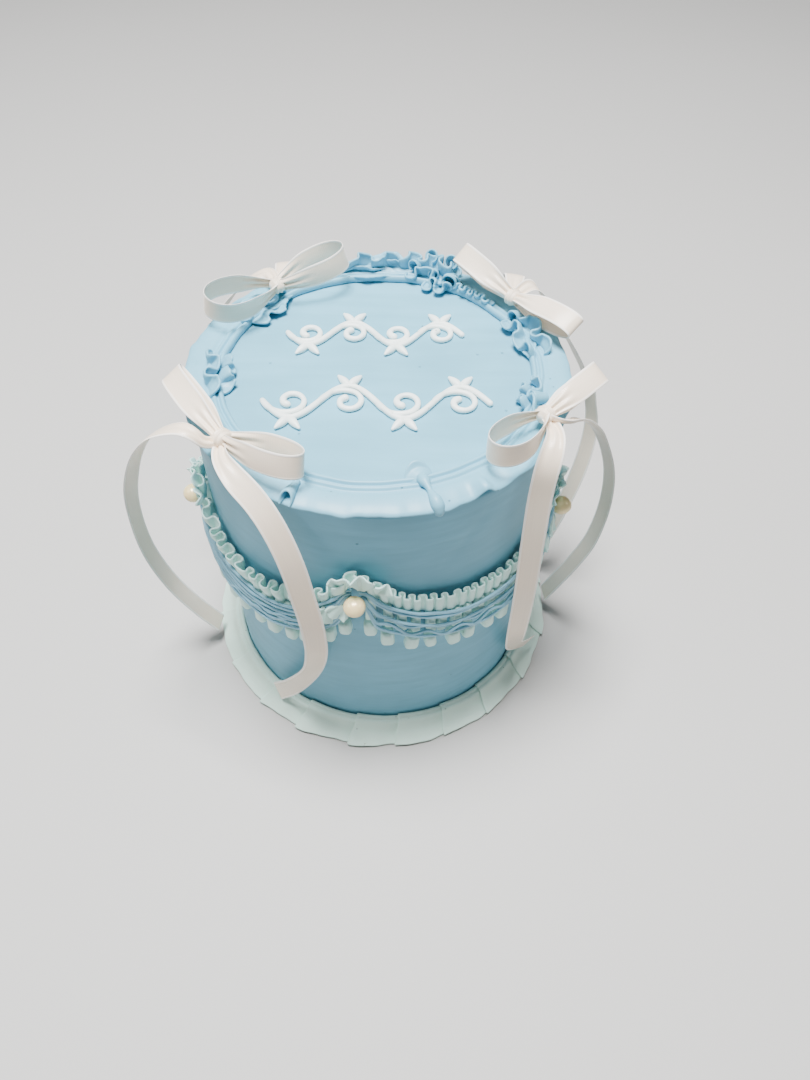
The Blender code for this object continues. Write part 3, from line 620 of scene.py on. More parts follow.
def ivory_satin(colour, edge_colour, width):
    """Polyester satin ribbon: long floating warp threads give it a broad soft gleam that runs
    across it, fine weft lines show close to, and the woven edges are paler and less shiny."""
    material, tree, shader = new_material("ivory satin ribbon")
    cloth = add_node(tree, "UVMap").outputs["UV"]
    across = add_node(tree, "SeparateXYZ", {0: cloth})
    # The edge bands are 0.9 mm wide, measured over the ribbon's width
    from_middle = add_node(tree, "Math", {0: across.outputs["Y"], 1: width / 2}, operation="SUBTRACT")
    far = add_node(tree, "Math", {0: from_middle.outputs[0]}, operation="ABSOLUTE")
    edge = add_node(
        tree, "MapRange",
        {"Value": far.outputs[0], "From Min": width / 2 - 0.0011, "From Max": width / 2 - 0.0007},
    )
    # Weft lines stand 0.25 mm apart on real ribbon, drawn at 0.7 mm so that they show
    weft = add_node(tree, "Math", {0: across.outputs["X"], 1: FULL_TURN / 0.0007}, operation="MULTIPLY")
    ribs = add_node(tree, "Math", {0: weft.outputs[0]}, operation="SINE")
    threads = add_node(tree, "Mapping", {"Vector": cloth, "Scale": (30.0, 2200.0, 1.0)})
    streaks = add_node(tree, "TexNoise", {"Vector": threads.outputs[0], "Scale": 1.0, "Detail": 2.0})
    body = add_node(
        tree, "Mix", {0: streaks.outputs[0], 6: scaled(colour, 0.86), 7: colour}, data_type="RGBA"
    )
    place = add_node(tree, "TexCoord").outputs["Object"]
    clouds = add_node(tree, "TexNoise", {"Vector": place, "Scale": 40.0})
    tone = add_node(
        tree, "MapRange",
        {"Value": clouds.outputs[0], "From Min": 0.35, "From Max": 0.75, "To Max": 0.45},
    )
    warm = [colour[0], colour[1] * 0.93, colour[2] * 0.86, 1.0]
    tinted = add_node(tree, "Mix", {0: tone.outputs[0], 6: body.outputs[2], 7: warm}, data_type="RGBA")
    dyed = add_node(
        tree, "Mix", {0: edge.outputs[0], 6: tinted.outputs[2], 7: edge_colour}, data_type="RGBA"
    )
    gloss = add_node(tree, "MapRange", {"Value": edge.outputs[0], "To Min": 0.27, "To Max": 0.55})
    lines = add_node(tree, "Bump", {"Strength": 0.12, "Distance": 0.0002, "Height": ribs.outputs[0]})
    bump = add_node(
        tree, "Bump",
        {"Strength": 0.25, "Distance": 0.0003, "Height": edge.outputs[0], "Normal": lines.outputs[0]},
    )
    set_inputs(tree, shader, {
        "Base Color": dyed.outputs[2], "Normal": bump.outputs[0], "Roughness": gloss.outputs[0], "IOR": 1.5,
        "Anisotropic": 0.65, "Anisotropic Rotation": 0.25, "Sheen Weight": 0.25, "Sheen Roughness": 0.35,
        "Tangent": add_node(tree, "Tangent", direction_type="UV_MAP", uv_map="UVMap").outputs[0],
    })
    return material


def ribbon_satin(ribbon):
    """The ribbon's satin, made once for the tails and the bows."""
    made = bpy.data.materials.get("ivory satin ribbon")
    return made or ivory_satin(ribbon.colour, ribbon.edge_colour, ribbon.width)


def sugar_pearl(colour):
    """A pressed sugar ball with an edible lustre coat: warm cream, a wide soft gleam and a
    faint mottle where the lustre dust lies thicker."""
    material, tree, shader = new_material("lustred sugar pearl")
    place = add_node(tree, "TexCoord").outputs["Object"]
    # Lustre dust in patches about 2 mm across
    dust = add_node(tree, "TexNoise", {"Vector": place, "Scale": 480.0, "Detail": 3.0})
    base = add_node(
        tree, "Mix", {0: dust.outputs[0], 6: colour, 7: scaled(colour, 1.18)}, data_type="RGBA"
    )
    grain = add_node(tree, "Bump", {"Strength": 0.1, "Distance": 0.0002, "Height": dust.outputs[0]})
    set_inputs(tree, shader, {
        "Base Color": base.outputs[2], "Normal": grain.outputs[0], "Roughness": 0.3, "IOR": 1.5,
        "Metallic": 0.12, "Coat Weight": 0.35, "Coat Roughness": 0.2,
        "Subsurface Weight": 0.1, "Subsurface Scale": 0.002,
    })
    return material


def pale_floor(colour):
    """Smooth painted board: flat and matt, with a barely seen cloudiness."""
    material, tree, shader = new_material("pale painted floor")
    place = add_node(tree, "TexCoord").outputs["Object"]
    clouds = add_node(tree, "TexNoise", {"Vector": place, "Scale": 3.0, "Detail": 2.0})
    base = add_node(
        tree, "Mix", {0: clouds.outputs[0], 6: scaled(colour, 0.96), 7: colour}, data_type="RGBA"
    )
    set_inputs(tree, shader, {"Base Color": base.outputs[2], "Roughness": 0.7})
    return material


def band_shape(degrees):
    """How far the rim border's flap rises and reaches out in a direction."""
    place = math.radians(degrees) * 4
    up = (0.6 * wander(place * 1.6, 1) + 0.35 * wander(place * 5.5, 5)) * MM
    out = 0.7 * wander(place * 2.2, 2) * MM
    for middle, half_width, rise, reach in BAND_FOLDS:
        away = (degrees - middle + 180) % 360 - 180
        share = math.exp(-((away / half_width) ** 2))
        up += rise * share * MM
        out += reach * share * MM
    return up, out


def make_iced_cake(settings, coat):
    """The iced cake: a turned body with a rounded top edge, gently uneven as spread by hand."""
    radius, height, edge = CAKE_HIGH.x, CAKE_HIGH.z, settings.cake.edge_radius
    section = [(0, 0), (radius * 0.5, 0), (radius - 1 * MM, 0), (radius, 1 * MM)]
    section += [(radius, 1 * MM + (height - edge - 1 * MM) * row / 44) for row in range(1, 45)]
    for step in range(1, 7):
        angle = math.radians(15 * step)
        section.append((radius - edge * (1 - math.cos(angle)), height - edge * (1 - math.sin(angle))))
    section += [((radius - edge) * (1 - row / 14), height) for row in range(1, 15)]
    bm = spun(section, settings.cake.steps, closed=False)
    for vert in bm.verts:
        x, y, z = vert.co
        reach = math.hypot(x, y)
        degrees = math.degrees(math.atan2(y, x)) % 360
        angle = math.radians(degrees)
        if reach > radius - edge and z > 2 * MM:
            drift = wander(angle * 3, 3) + 0.6 * wander(z / (9 * MM), 4 + math.sin(angle))
            inward = settings.cake.unevenness * (0.5 * drift - 0.5)
            for from_degrees, from_level, to_degrees, to_level in KNIFE_MARKS:
                share = (from_level * MM - z) / ((from_level - to_level) * MM)
                if -0.1 < share < 1.1:
                    away = math.radians(degrees - blend(from_degrees, to_degrees, share)) * radius
                    groove = math.exp(-((away / (MARK_HALF_WIDTH * MM)) ** 2))
                    inward -= settings.cake.mark_depth * groove * ease(4 * (1.1 - share))
            vert.co = polar(reach + inward, degrees, z)
        elif z > height - 0.1 * MM:
            vert.co.z -= 0.18 * MM * (1 + wander(x / (22 * MM), 5) * wander(y / (14 * MM), 6))
    finished("iced_cake", bm, coat, ["cake"])


def make_rim_band(icing):
    """The ridges and the wavy flap of the rim's border."""
    outline = smooth_route([(radius, height, 0) for radius, height in BAND_SECTION], 0.45 * MM)
    bm = spun([(point.x, point.y) for point in outline], BAND_STEPS, closed=True)
    for vert in bm.verts:
        radius = math.hypot(vert.co.x, vert.co.y)
        degrees = math.degrees(math.atan2(vert.co.y, vert.co.x))
        up, out = band_shape(degrees)
        lip = ease((radius - 70 * MM) / (10 * MM))
        ridge = 1 - ease((radius - 68 * MM) / (5 * MM))
        drift = 0.5 * MM * wander(math.radians(degrees) * 5, 7) * ridge
        raised = max(0.0, vert.co.z - 168.5 * MM) / (2.5 * MM)
        vert.co = polar(radius + out * lip + drift, degrees, vert.co.z + up * lip + 0.25 * drift * raised)
    finished("rim_border_band", bm, icing, ["top_border"])


def make_rim_ruffles(icing):
    """The folded petal ruffles on the rim."""
    bm = bmesh.new()
    for seed, (start, end, foot, level, height, lean, pitch, swing) in enumerate(RIM_RUFFLES):
        length = math.radians(end - start) * foot
        count = max(2, round(length / pitch))
        tilt = math.radians(lean)

        def place_petal(u, v):
            turn = FULL_TURN * (count * u + 0.13 * wander(7 * u, seed))
            out, along = fold(turn, swing, pitch)
            spread = (0.25 + 0.75 * ease(1.3 * v)) * (0.85 + 0.25 * wander(9 * u, seed + 3))
            degrees = blend(start, end, u) + math.degrees(along * spread / foot)
            outward = polar(1, degrees, 0)
            ends = min(1.0, 0.3 + 6 * min(u, 1 - u))
            tall = height * v * ends * (0.92 + 0.22 * wander(9 * u, seed + 5))
            tall *= 1 - 0.1 * v * math.sin(turn) ** 2
            point = polar(foot, degrees, level)
            point += (UPWARD * math.cos(tilt) + outward * math.sin(tilt)) * tall
            point += (outward * math.cos(tilt) - UPWARD * math.sin(tilt)) * out * spread
            point.z = max(point.z, RIM_LEVEL)
            return point * MM

        add_strip(
            bm, count * 14, 6, (length * MM, height * MM), place_petal,
            thickness=lambda u, v: 1.0 - 0.6 * ease(v),
        )
    ruffles = finished("rim_border_ruffles", bm, icing, ["top_border"])
    thicken(ruffles, 1.7 * MM, thin_edge=0.4)


def make_rim_rolls(icing):
    """The roll at the front, the fold in the flap, the rolled petals and the long petals."""
    bm = bmesh.new()
    direction, middle, wide, tall = FRONT_ROLL

    def place_roll(u, v):
        turn = math.radians(205 - 230 * u)
        radius = middle - 3.4 + 10.0 * v + 5.0 * (1 - math.sin(turn)) * (1 - v)
        rise = tall * blend(1.0, 0.55, ease(5 * v)) * blend(1.0, 0.6, v)
        point = polar(radius, direction + 1.2 * v, 169.4 + math.sin(turn) * rise)
        point += polar(1, direction - 90, 0) * math.cos(turn) * blend(wide, 1.2, ease(v) ** 0.8)
        return point * MM

    add_strip(bm, 30, 10, (18 * MM, 10 * MM), place_roll, thickness=lambda u, v: 0.55 + 0.45 * ease(3 * v))
    direction, inner, outer, level, wide, tall = FLAP_FOLD

    def place_fold(u, v):
        turn = math.radians(215 - 250 * u)
        size = blend(0.3, 1.0, ease(v))
        radius = blend(inner, outer, v) - 2.2 * math.sin(turn) * v
        point = polar(radius, direction, level + (math.sin(turn) * tall + 0.6) * size - 0.8 * v)
        return (point + polar(1, direction - 90, 0) * math.cos(turn) * wide * size) * MM

    add_strip(bm, 28, 8, (16 * MM, 10 * MM), place_fold, thickness=lambda u, v: 1.0 - 0.5 * v)
    for direction, radius, level, wide, long, heading, climb in RIM_SCROLLS:
        foot = polar(radius, direction, level)
        climb = math.radians(climb)
        axis = polar(math.cos(climb), heading, math.sin(climb))
        across = polar(1, heading + 90, 0)
        upper = axis.cross(across)

        def place_scroll(u, v):
            turn = math.radians(240 - 310 * u)
            size = wide * blend(0.55, 1.0, v) * (1 - 0.22 * u)
            point = foot + axis * long * v * (1 + 0.12 * math.sin(turn))
            return (point + across * math.cos(turn) * size + upper * (math.sin(turn) + 0.8) * size) * MM

        add_strip(bm, 30, 6, (18 * MM, long * MM), place_scroll, thickness=lambda u, v: 1.0 - 0.5 * v)
    for seed, (start, end, middle, level, half_width, inner_curl, outer_curl) in enumerate(RIM_LEAVES):

        def place_leaf(u, v):
            inward = 2 * v - 1
            half = half_width * math.sin(math.pi * (0.05 + 0.9 * u)) ** 0.7
            curl = inner_curl if inward > 0 else outer_curl
            wave = 0.5 * wander(8 * u, seed) * abs(inward)
            radius = middle - inward * half + 1.2 * wander(4 * u, seed + 1)
            height = level + curl * inward**2 * math.sin(math.pi * u) + wave
            return polar(radius, blend(start, end, u), height) * MM

        add_strip(
            bm, 30, 8, (24 * MM, half_width * 2 * MM), place_leaf,
            thickness=lambda u, v: 1.0 - 0.5 * (2 * v - 1) ** 2,
        )
    rolls = finished("rim_border_rolls", bm, icing, ["top_border"])
    thicken(rolls, 1.3 * MM, thin_edge=0.4)


def make_rim_drip(icing):
    """The pinched line that crosses the flap at the front."""
    points = [polar(radius, degrees, level) for degrees, radius, level, _ in FRONT_DRIP]
    line = []
    route = smooth_route(points, 0.7 * MM)
    for index, point in enumerate(route):
        reach = index / (len(route) - 1) * (len(points) - 1)
        stage = min(int(reach), len(points) - 2)
        thick = blend(FRONT_DRIP[stage][3], FRONT_DRIP[stage + 1][3], reach - stage)
        line.append((point, thick * MM))
    placed(
        "rim_border_drip", lines_mesh("rim_border_drip", [rounded_ends(line)], 6), icing,
        ["top_border"],
    )


def make_foot_border(icing):
    """The border round the foot: a body on the table under a skirt of overlapping pleats."""
    bm = spun([(r * MM, z * MM) for r, z in SKIRT_BODY], 180, closed=True)
    finished("foot_border_body", bm, icing, ["base_border"])

    section = smooth_route([(r, z, 0) for r, z in SKIRT_SECTION], 0.9 * MM)
    bm = bmesh.new()
    for index, start in enumerate(PLEATS):
        end = PLEATS[(index + 1) % len(PLEATS)] + (360 if index == len(PLEATS) - 1 else 0)
        over = 3.0 + 1.0 * wander(index, 8)

        def place(u, v):
            degrees = blend(start, end + over, u)
            point = section[min(round(v * (len(section) - 1)), len(section) - 1)]
            lift = (1 - u) ** 1.5
            flare = ease((v - 0.25) / 0.75)
            wave = wander(math.radians(degrees) * 9, 9 + index)
            out = (1.7 * lift + 0.8 * wave - 0.4) * flare
            rumple = 0.6 * wander(math.radians(degrees) * 14, index) * flare * (1 - flare) * 3
            up = 2.0 * lift * (1 - 0.5 * flare) + rumple
            skew = 1.8 * flare * (1 - u) ** 2
            return polar(point.x + out * MM, degrees - skew, max(point.y + up * MM, 0.6 * MM))

        columns = max(10, round((end + over - start) * 1.4))
        add_strip(
            bm, columns, len(section) - 1, (30 * MM, 18 * MM), place,
            thickness=lambda u, v: 1.0 - 0.6 * ease(v * 1.3 - 0.3),
        )
    skirt = finished("foot_border_skirt", bm, icing, ["base_border"])
    thicken(skirt, 1.1 * MM, thin_edge=0.35)


def swag_span(swag):
    """The directions where a swag begins and ends."""
    start, end = (PEARLS[pearl][0] for pearl in SWAGS[swag][:2])
    return (start - 360, end) if start > end else (start, end)


def swag_line(swag, u):
    """The height, in millimetres, of a swag's highest thread at a share of the way along it."""
    start, end, crest = SWAGS[swag][:3]
    pearl = PEARLS[start if u < 0.5 else end][1]
    return blend(crest - 0.4, pearl + THREADS_OVER_PEARL, abs(2 * u - 1) ** 2.5)


def thread_level(swag, u, hang):
    """The height of a thread that hangs so far below the highest one. It meets the pearls."""
    pearl = PEARLS[SWAGS[swag][0 if u < 0.5 else 1]][1]
    free = swag_line(swag, u) - hang * (1 + 0.2 * (2 * u - 1) ** 2)
    return blend(free, pearl + 5.0 - 0.6 * hang, 1 - ease(min(u, 1 - u) * 17))


def thin_edge_share(_, v):
    """A garland petal's share of its thickness: full at its foot and thin at its free edge."""
    return 1.0 - 0.6 * ease(v * 1.2 - 0.2)


def make_swag_ruffle(settings, swag, seed, icing):
    """The petal ruffle along the top of a swag, with wide petals beside each pearl."""
    start, end = swag_span(swag)
    sizes = settings.garland
    pitch, swing = SWAGS[swag][3:5]
    height = sizes.petal_height / MM
    wall = CAKE_HIGH.x / MM
    length = math.radians(end - start) * wall
    count = round(length / pitch)

    def place(u, v):
        out, along = fold(FULL_TURN * (count * u + 0.24 * wander(17 * u, seed)), swing, pitch)
        spread = (0.3 + 0.7 * ease(1.25 * v)) * (1 + 0.25 * wander(11 * u, seed + 2))
        degrees = blend(start + 0.3, end - 0.3, u) + math.degrees(along * spread / wall)
        rise = height * (1 + 0.12 * wander(9 * u, seed + 4)) * v
        radius = max(wall + 3.4 + (swing - 1.7) * ease(v) + out * spread, wall + 1.1)
        return polar(radius, degrees, swag_line(swag, u) + 0.6 + rise) * MM

    bm = bmesh.new()
    add_strip(bm, count * 14, 7, (length * MM, height * MM), place, thickness=thin_edge_share)
    ends = ((start, SWAGS[swag][0]), (end, SWAGS[swag][1]))
    for which, away, above, stand, wide, tall, lean in PEARL_PETALS:
        degrees, pearl = ends[which]
        tilt = math.radians(lean)
        foot = polar(wall + stand, degrees + away, PEARLS[pearl][1] + above)
        outward = polar(1, degrees + away, 0)
        sideways = polar(1, degrees + away + 90, 0)
        grow = UPWARD * math.cos(tilt) + sideways * math.sin(tilt)
        across = sideways * math.cos(tilt) - UPWARD * math.sin(tilt)

        def place_petal(u, v):
            share = 2 * u - 1
            half = wide / 2 * (0.3 + 0.7 * ease(1.2 * v))
            point = foot + across * share * half + grow * tall * v * math.sqrt(1 - 0.45 * share**2)
            wave = 1.0 * math.sin(1.4 * FULL_TURN * u + away) * v + 1.6 * share**2 * v + 1.6 * v**2
            return (point + outward * wave) * MM

        add_strip(bm, 24, 7, (wide * MM, tall * MM), place_petal, thickness=thin_edge_share)
    ruffle = finished("petal_ruffle_" + swag, bm, icing, ["swag_ruffle_" + swag])
    thicken(ruffle, 1.4 * MM, thin_edge=0.42)


def make_swag_strings(settings, swag, seed, icing):
    """The draped threads of a swag, and two strands that weave between them."""
    start, end = swag_span(swag)
    sizes = settings.garland
    hangs = SWAGS[swag][5]
    lines = []
    weaves = {len(hangs): 1.9, len(hangs) + 1: 1.0}
    for index, hang in enumerate((*hangs, 0.84 * hangs[-1], 0.55 * hangs[-1])):
        line = []
        weave = weaves.get(index, 0.0)
        for step in range(97):
            u = step / 96
            below = hang + weave * math.sin(FULL_TURN * 7 * u) + 0.6 * wander(9 * u, seed + 2 * index)
            near = 1 - ease(min(u, 1 - u) * 15)
            radius = blend(THREADS_OUT + 0.09 * hang, THREAD_ENDS_OUT, near)
            radius += 0.3 * wander(8 * u, seed + index)
            thick = sizes.string_radius * (1 + 0.15 * wander(15 * u, seed + 3 * index))
            degrees = blend(start + 1.6, end - 1.6, u)
            line.append((polar(radius, degrees, thread_level(swag, u, below)) * MM, thick))
        lines.append(rounded_ends(line))
    placed(
        "garland_strings_" + swag, lines_mesh("garland_strings_" + swag, lines, 3), icing,
        ["swag_lattice_" + swag],
    )


def add_soft_block(bm, size, rounding, middle, degrees, tilt):
    """Add a block of icing with soft edges, a little narrower at its top."""
    verts = bmesh.ops.create_cube(bm, size=1)["verts"]
    bmesh.ops.scale(bm, verts=verts, vec=size)
    for vert in verts:
        if vert.co.z > 0:
            vert.co.y *= 0.84
    edges = list({edge for vert in verts for edge in vert.link_edges})
    result = bmesh.ops.bevel(
        bm, geom=edges, offset=rounding, offset_type="OFFSET", segments=4, profile=0.5, material=-1,
        affect="EDGES",
    )
    made = list({vert for face in result["faces"] for vert in face.verts})
    turn = Matrix.Rotation(math.radians(degrees), 3, "Z") @ Matrix.Rotation(tilt, 3, "X")
    bmesh.ops.rotate(bm, verts=made, cent=(0, 0, 0), matrix=turn)
    bmesh.ops.translate(bm, verts=made, vec=middle)


def make_swag_drops(settings, swag, seed, icing):
    """The upright strokes behind a swag's threads and the soft square drops below them."""
    start, end = swag_span(swag)
    sizes = settings.garland
    hang = SWAGS[swag][5][-1]
    length = math.radians(end - start) * CAKE_HIGH.x
    bm = bmesh.new()
    strokes = round(length / sizes.stroke_pitch)
    for index in range(1, strokes):
        u = (index + 0.16 * wander(2 * index, seed)) / strokes
        degrees = blend(start, end, u)
        high, low = thread_level(swag, u, 0.5), thread_level(swag, u, hang)
        wide = sizes.stroke_width * (1 + 0.12 * wander(2.6 * index, seed + 4))
        add_soft_block(
            bm, (4.6 * MM, wide, max(high - low, 7.0) * MM), 1.3 * MM,
            polar(STROKES_OUT, degrees, (high + low) / 2) * MM, degrees, 0.1 * wander(1.9 * index, seed),
        )
    count = round(length / sizes.drop_pitch)
    for index in range(count):
        u = (index + 0.5 + 0.17 * wander(2.3 * index, seed)) / count
        degrees = blend(start, end, u)
        scale = 1 + 0.13 * wander(3 * index, seed + 2)
        level = thread_level(swag, u, hang) - 6.6 * scale + 0.8 * wander(index, seed + 1)
        add_soft_block(
            bm, (6.2 * MM, sizes.drop_width * scale, sizes.drop_height * scale), 2.1 * MM,
            polar(DROPS_OUT, degrees, level) * MM, degrees, 0.16 * wander(1.7 * index, seed + 6),
        )
    bmesh.ops.recalc_face_normals(bm, faces=bm.faces)
    finished("garland_drops_" + swag, bm, icing, ["swag_lattice_" + swag])


def make_pearl(settings, name, spot, sugar):
    """A sugar pearl pressed into the garland where two swags meet."""
    sizes = settings.garland
    degrees, level = spot
    bm = bmesh.new()
    bmesh.ops.create_uvsphere(bm, u_segments=48, v_segments=28, radius=0.5)
    for vert in bm.verts:
        vert.co *= 1 + 0.012 * wander(vert.co.x * 9 + vert.co.z * 7, degrees)
    bmesh.ops.scale(bm, verts=bm.verts, vec=(sizes.pearl_width, sizes.pearl_width, sizes.pearl_height))
    bmesh.ops.translate(bm, verts=bm.verts, vec=polar(PEARLS_OUT, degrees, level) * MM)
    finished("sugar_pearl_" + name, bm, sugar, ["pearl_" + name])


def make_bow(settings, name, bow, satin):
    """A bow of satin ribbon: two gathered loops, and the knot wrapped round their middle."""
    sizes = settings.ribbon
    spot, *loops = bow
    knot = Vector((spot[0], spot[1], KNOT_LEVEL)) * MM
    bm = bmesh.new()
    for seed, (tip, lean, opening) in enumerate(loops):
        along = Vector(tip) * MM - knot
        length = along.length
        along.normalize()
        level = along.cross(UPWARD).normalized()
        if level.y < 0:
            level.negate()
        upward = along.cross(level)
        if upward.z < 0:
            upward.negate()
        lean_angle = math.radians(lean)
        across = level * math.cos(lean_angle) + upward * math.sin(lean_angle)
        side = along.cross(across)

        def place(u, v):
            turn = FULL_TURN * u
            reach = length * (1 - math.cos(turn)) / 2
            bulge = opening * MM * 0.65 * math.sin(turn) * math.sin(turn / 2)
            bulge += 1.0 * MM * math.cos(turn / 2)
            loose = ease(reach / (0.5 * length))
            width = blend(sizes.gathered, sizes.width, loose)
            folds = 0.9 * MM * (1 - loose) * math.cos(FULL_TURN * 2.5 * v + 1.1 * seed)
            cupped = 0.5 * MM * (2 * v - 1) ** 2 * math.sin(math.pi * min(1.0, reach / length))
            return knot + along * reach + side * (bulge + folds - cupped) + across * width * (v - 0.5)

        distance = 2.25 * length
        add_strip(bm, 56, 12, (distance, sizes.width), place)
    loops_piece = finished("bow_loops_" + name, bm, satin, ["bow_" + name])
    thicken(loops_piece, sizes.thickness)

    bm = bmesh.new()
    bmesh.ops.create_uvsphere(bm, u_segments=40, v_segments=24, radius=1)
    uv = bm.loops.layers.uv.new("UVMap")
    for face in bm.faces:
        for loop in face.loops:
            x, y, z = loop.vert.co
            loop[uv].uv = (math.atan2(y, z) * 4 * MM, (x * 0.45 + 0.5) * sizes.width)
    for vert in bm.verts:
        x, y, z = vert.co
        reach = math.hypot(y, z)
        barrel = (1 - min(1.0, abs(x)) ** 3.2) ** 0.5 / reach if reach > 1e-6 else 1
        pleat = 1 + 0.09 * math.sin(11 * x + 1.2 * math.sin(math.atan2(z, y))) * min(1.0, reach)
        vert.co = Vector((x * 3.3, y * barrel * 4.0 * pleat, z * barrel * 3.3 * pleat)) * MM
    heading = Vector(loops[1][0]) - Vector(loops[0][0])
    turned = Vector((heading.x, heading.y, 0)).to_track_quat("X", "Z").to_matrix()
    bmesh.ops.rotate(bm, verts=bm.verts, cent=(0, 0, 0), matrix=turned)
    bmesh.ops.translate(bm, verts=bm.verts, vec=knot)
    knot_piece = finished("bow_knot_" + name, bm, satin, ["bow_" + name])


def make_tail(settings, name, tail, satin):
    """A free end of the ribbon along its route, gathered where it leaves the knot."""
    sizes = settings.ribbon
    points, stages = tail
    spot = BOWS[name.rsplit("_", 1)[0]][0]
    stages = [Vector(stage) for stage in stages]
    route = smooth_route(((*spot, KNOT_LEVEL - 0.8), *points), 2.5 * MM)
    last = len(route) - 1
    length = sum((b - a).length for a, b in zip(route, route[1:]))

    def place(u, v):
        index = round(u * last)
        heading = (route[min(index + 1, last)] - route[max(index - 1, 0)]).normalized()
        stage = min(int(u * (len(stages) - 1)), len(stages) - 2)
        across = blend(stages[stage], stages[stage + 1], u * (len(stages) - 1) - stage)
        across = (across - heading * across.dot(heading)).normalized()
        loose = ease(u * 8)
        width = blend(sizes.gathered, sizes.width, loose)
        out = heading.cross(across)
        folds = 0.9 * MM * (1 - loose) * math.cos(FULL_TURN * 2 * v)
        folds += 0.5 * MM * (1 - ease(u * 3)) * (2 * v - 1) ** 2
        return route[index] + across * width * (v - 0.5) + out * folds

    bm = bmesh.new()
    add_strip(bm, last, 10, (length, sizes.width), place)
    piece = finished("ribbon_tail_" + name, bm, satin, ["tail_" + name])
    thicken(piece, sizes.thickness)


def make_vine(name, row, icing):
    """One row of the piped vine: a waving stem with a curl and two leaves at each bend."""
    middle_x, middle_y, waves, wave_length, swing = row
    level = CAKE_HIGH.z / MM + 0.9
    left = middle_x - waves * wave_length / 2
    count = round(waves * 26)
    lines = []
    stem = []
    for step in range(count + 1):
        u = step / count
        x = left + waves * wave_length * u
        y = middle_y - swing * math.sin(FULL_TURN * waves * u)
        stem.append((Vector((x, y, level)) * MM, 1.3 * MM * (1 + 0.12 * wander(11 * u, 3))))
    lines.append(rounded_ends(stem))
    widest = wave_length / 4
    for bend in range(round(2 * waves)):
        side = 1 if bend % 2 == 0 else -1
        centre = Vector((left + (bend + 0.5) * wave_length / 2, middle_y, level))
        curl = []
        for step in range(44):
            share = step / 43
            radius = blend(widest * 0.66, CURL_END, share) + widest * 0.34 * max(0.0, 1 - 4 * share) ** 2
            angle = math.radians(180 + CURL_TURN * share)
            point = centre + Vector((radius * math.cos(angle), side * radius * math.sin(angle), 0))
            thick = 1.2 * (1 + 0.1 * wander(8 * share, bend)) * (1.0 + 0.3 * ease(share * 3 - 2))
            curl.append((point * MM, thick * MM))
        lines.append(rounded_ends(curl))
        foot = centre + Vector((0, -side * swing, 0))
        for lean in (-LEAF_LEAN, LEAF_LEAN):
            angle = math.radians(lean - side * 90)
            leaf = []
            for step in range(10):
                share = step / 9
                point = foot + Vector((math.cos(angle), math.sin(angle), 0)) * LEAF_LENGTH * share
                leaf.append((point * MM, (0.5 + 1.25 * math.sin(math.pi * (0.15 + 0.8 * share))) * MM))
            lines.append(rounded_ends(leaf))
    placed(
        "piped_vine_" + name, lines_mesh("piped_vine_" + name, lines, 4), icing,
        ["scroll_" + name],
    )


class LAYERCAKE_OT_stage(bpy.types.Operator):
    """Make the camera at the photographed angle, the pale floor and the soft light."""

    bl_idname = "layer_cake.stage"
    bl_label = "Camera, Floor and Light"

    def execute(self, context):
        stage = context.scene.layer_cake.stage
        camera = bpy.data.objects.new("camera", bpy.data.cameras.new("camera"))
        context.scene.collection.objects.link(camera)
        roll = math.radians(CAMERA_ROLL)
        aim = Vector(CAMERA_AIM).normalized()
        level_right = Vector((1, 0, 0))
        level_up = level_right.cross(aim)
        right = level_right * math.cos(roll) + level_up * math.sin(roll)
        up = level_up * math.cos(roll) - level_right * math.sin(roll)
        turn = Matrix((right, up, -aim)).transposed().to_4x4()
        camera.matrix_world = Matrix.Translation(CAMERA_PLACE) @ turn
        camera.data.lens = stage.lens
        camera.data.sensor_width = 36
        camera.data.clip_start = 0.01
        context.scene.camera = camera

        bm = bmesh.new()
        bmesh.ops.create_grid(bm, x_segments=1, y_segments=1, size=stage.floor_width / 2)
        mesh = bpy.data.meshes.new("floor")
        bm.to_mesh(mesh)
        bm.free()
        floor = bpy.data.objects.new("floor", mesh)
        context.scene.collection.objects.link(floor)
        mesh.materials.append(pale_floor(stage.floor_colour))

        for name, (place, size, power) in LIGHTS.items():
            light = bpy.data.lights.new(name, "AREA")
            light.size = size
            light.energy = power
            holder = bpy.data.objects.new(name, light)
            holder.location = place
            holder.rotation_euler = (LIT_POINT - Vector(place)).to_track_quat("-Z", "Y").to_euler()
            context.scene.collection.objects.link(holder)
        world = context.scene.world or bpy.data.worlds.new("studio")
        context.scene.world = world
        world.use_nodes = True
        background = world.node_tree.nodes["Background"]
        background.inputs["Color"].default_value = (0.9, 0.95, 1.0, 1.0)
        background.inputs["Strength"].default_value = 0.09
        return {"FINISHED"}


class LAYERCAKE_OT_ribbon_tails(bpy.types.Operator):
    """Make the eight free ends of ribbon that hang from the bows."""

    bl_idname = "layer_cake.ribbon_tails"
    bl_label = "Ribbon Tails"

    def execute(self, context):
        settings = context.scene.layer_cake
        satin = ribbon_satin(settings.ribbon)
        for name, tail in TAILS.items():
            make_tail(settings, name, tail, satin)
        return {"FINISHED"}


class LAYERCAKE_OT_bows(bpy.types.Operator):
    """Make the four bows on the rim."""

    bl_idname = "layer_cake.bows"
    bl_label = "Bows"

    def execute(self, context):
        settings = context.scene.layer_cake
        satin = ribbon_satin(settings.ribbon)
        for name, bow in BOWS.items():
            make_bow(settings, name, bow, satin)
        return {"FINISHED"}


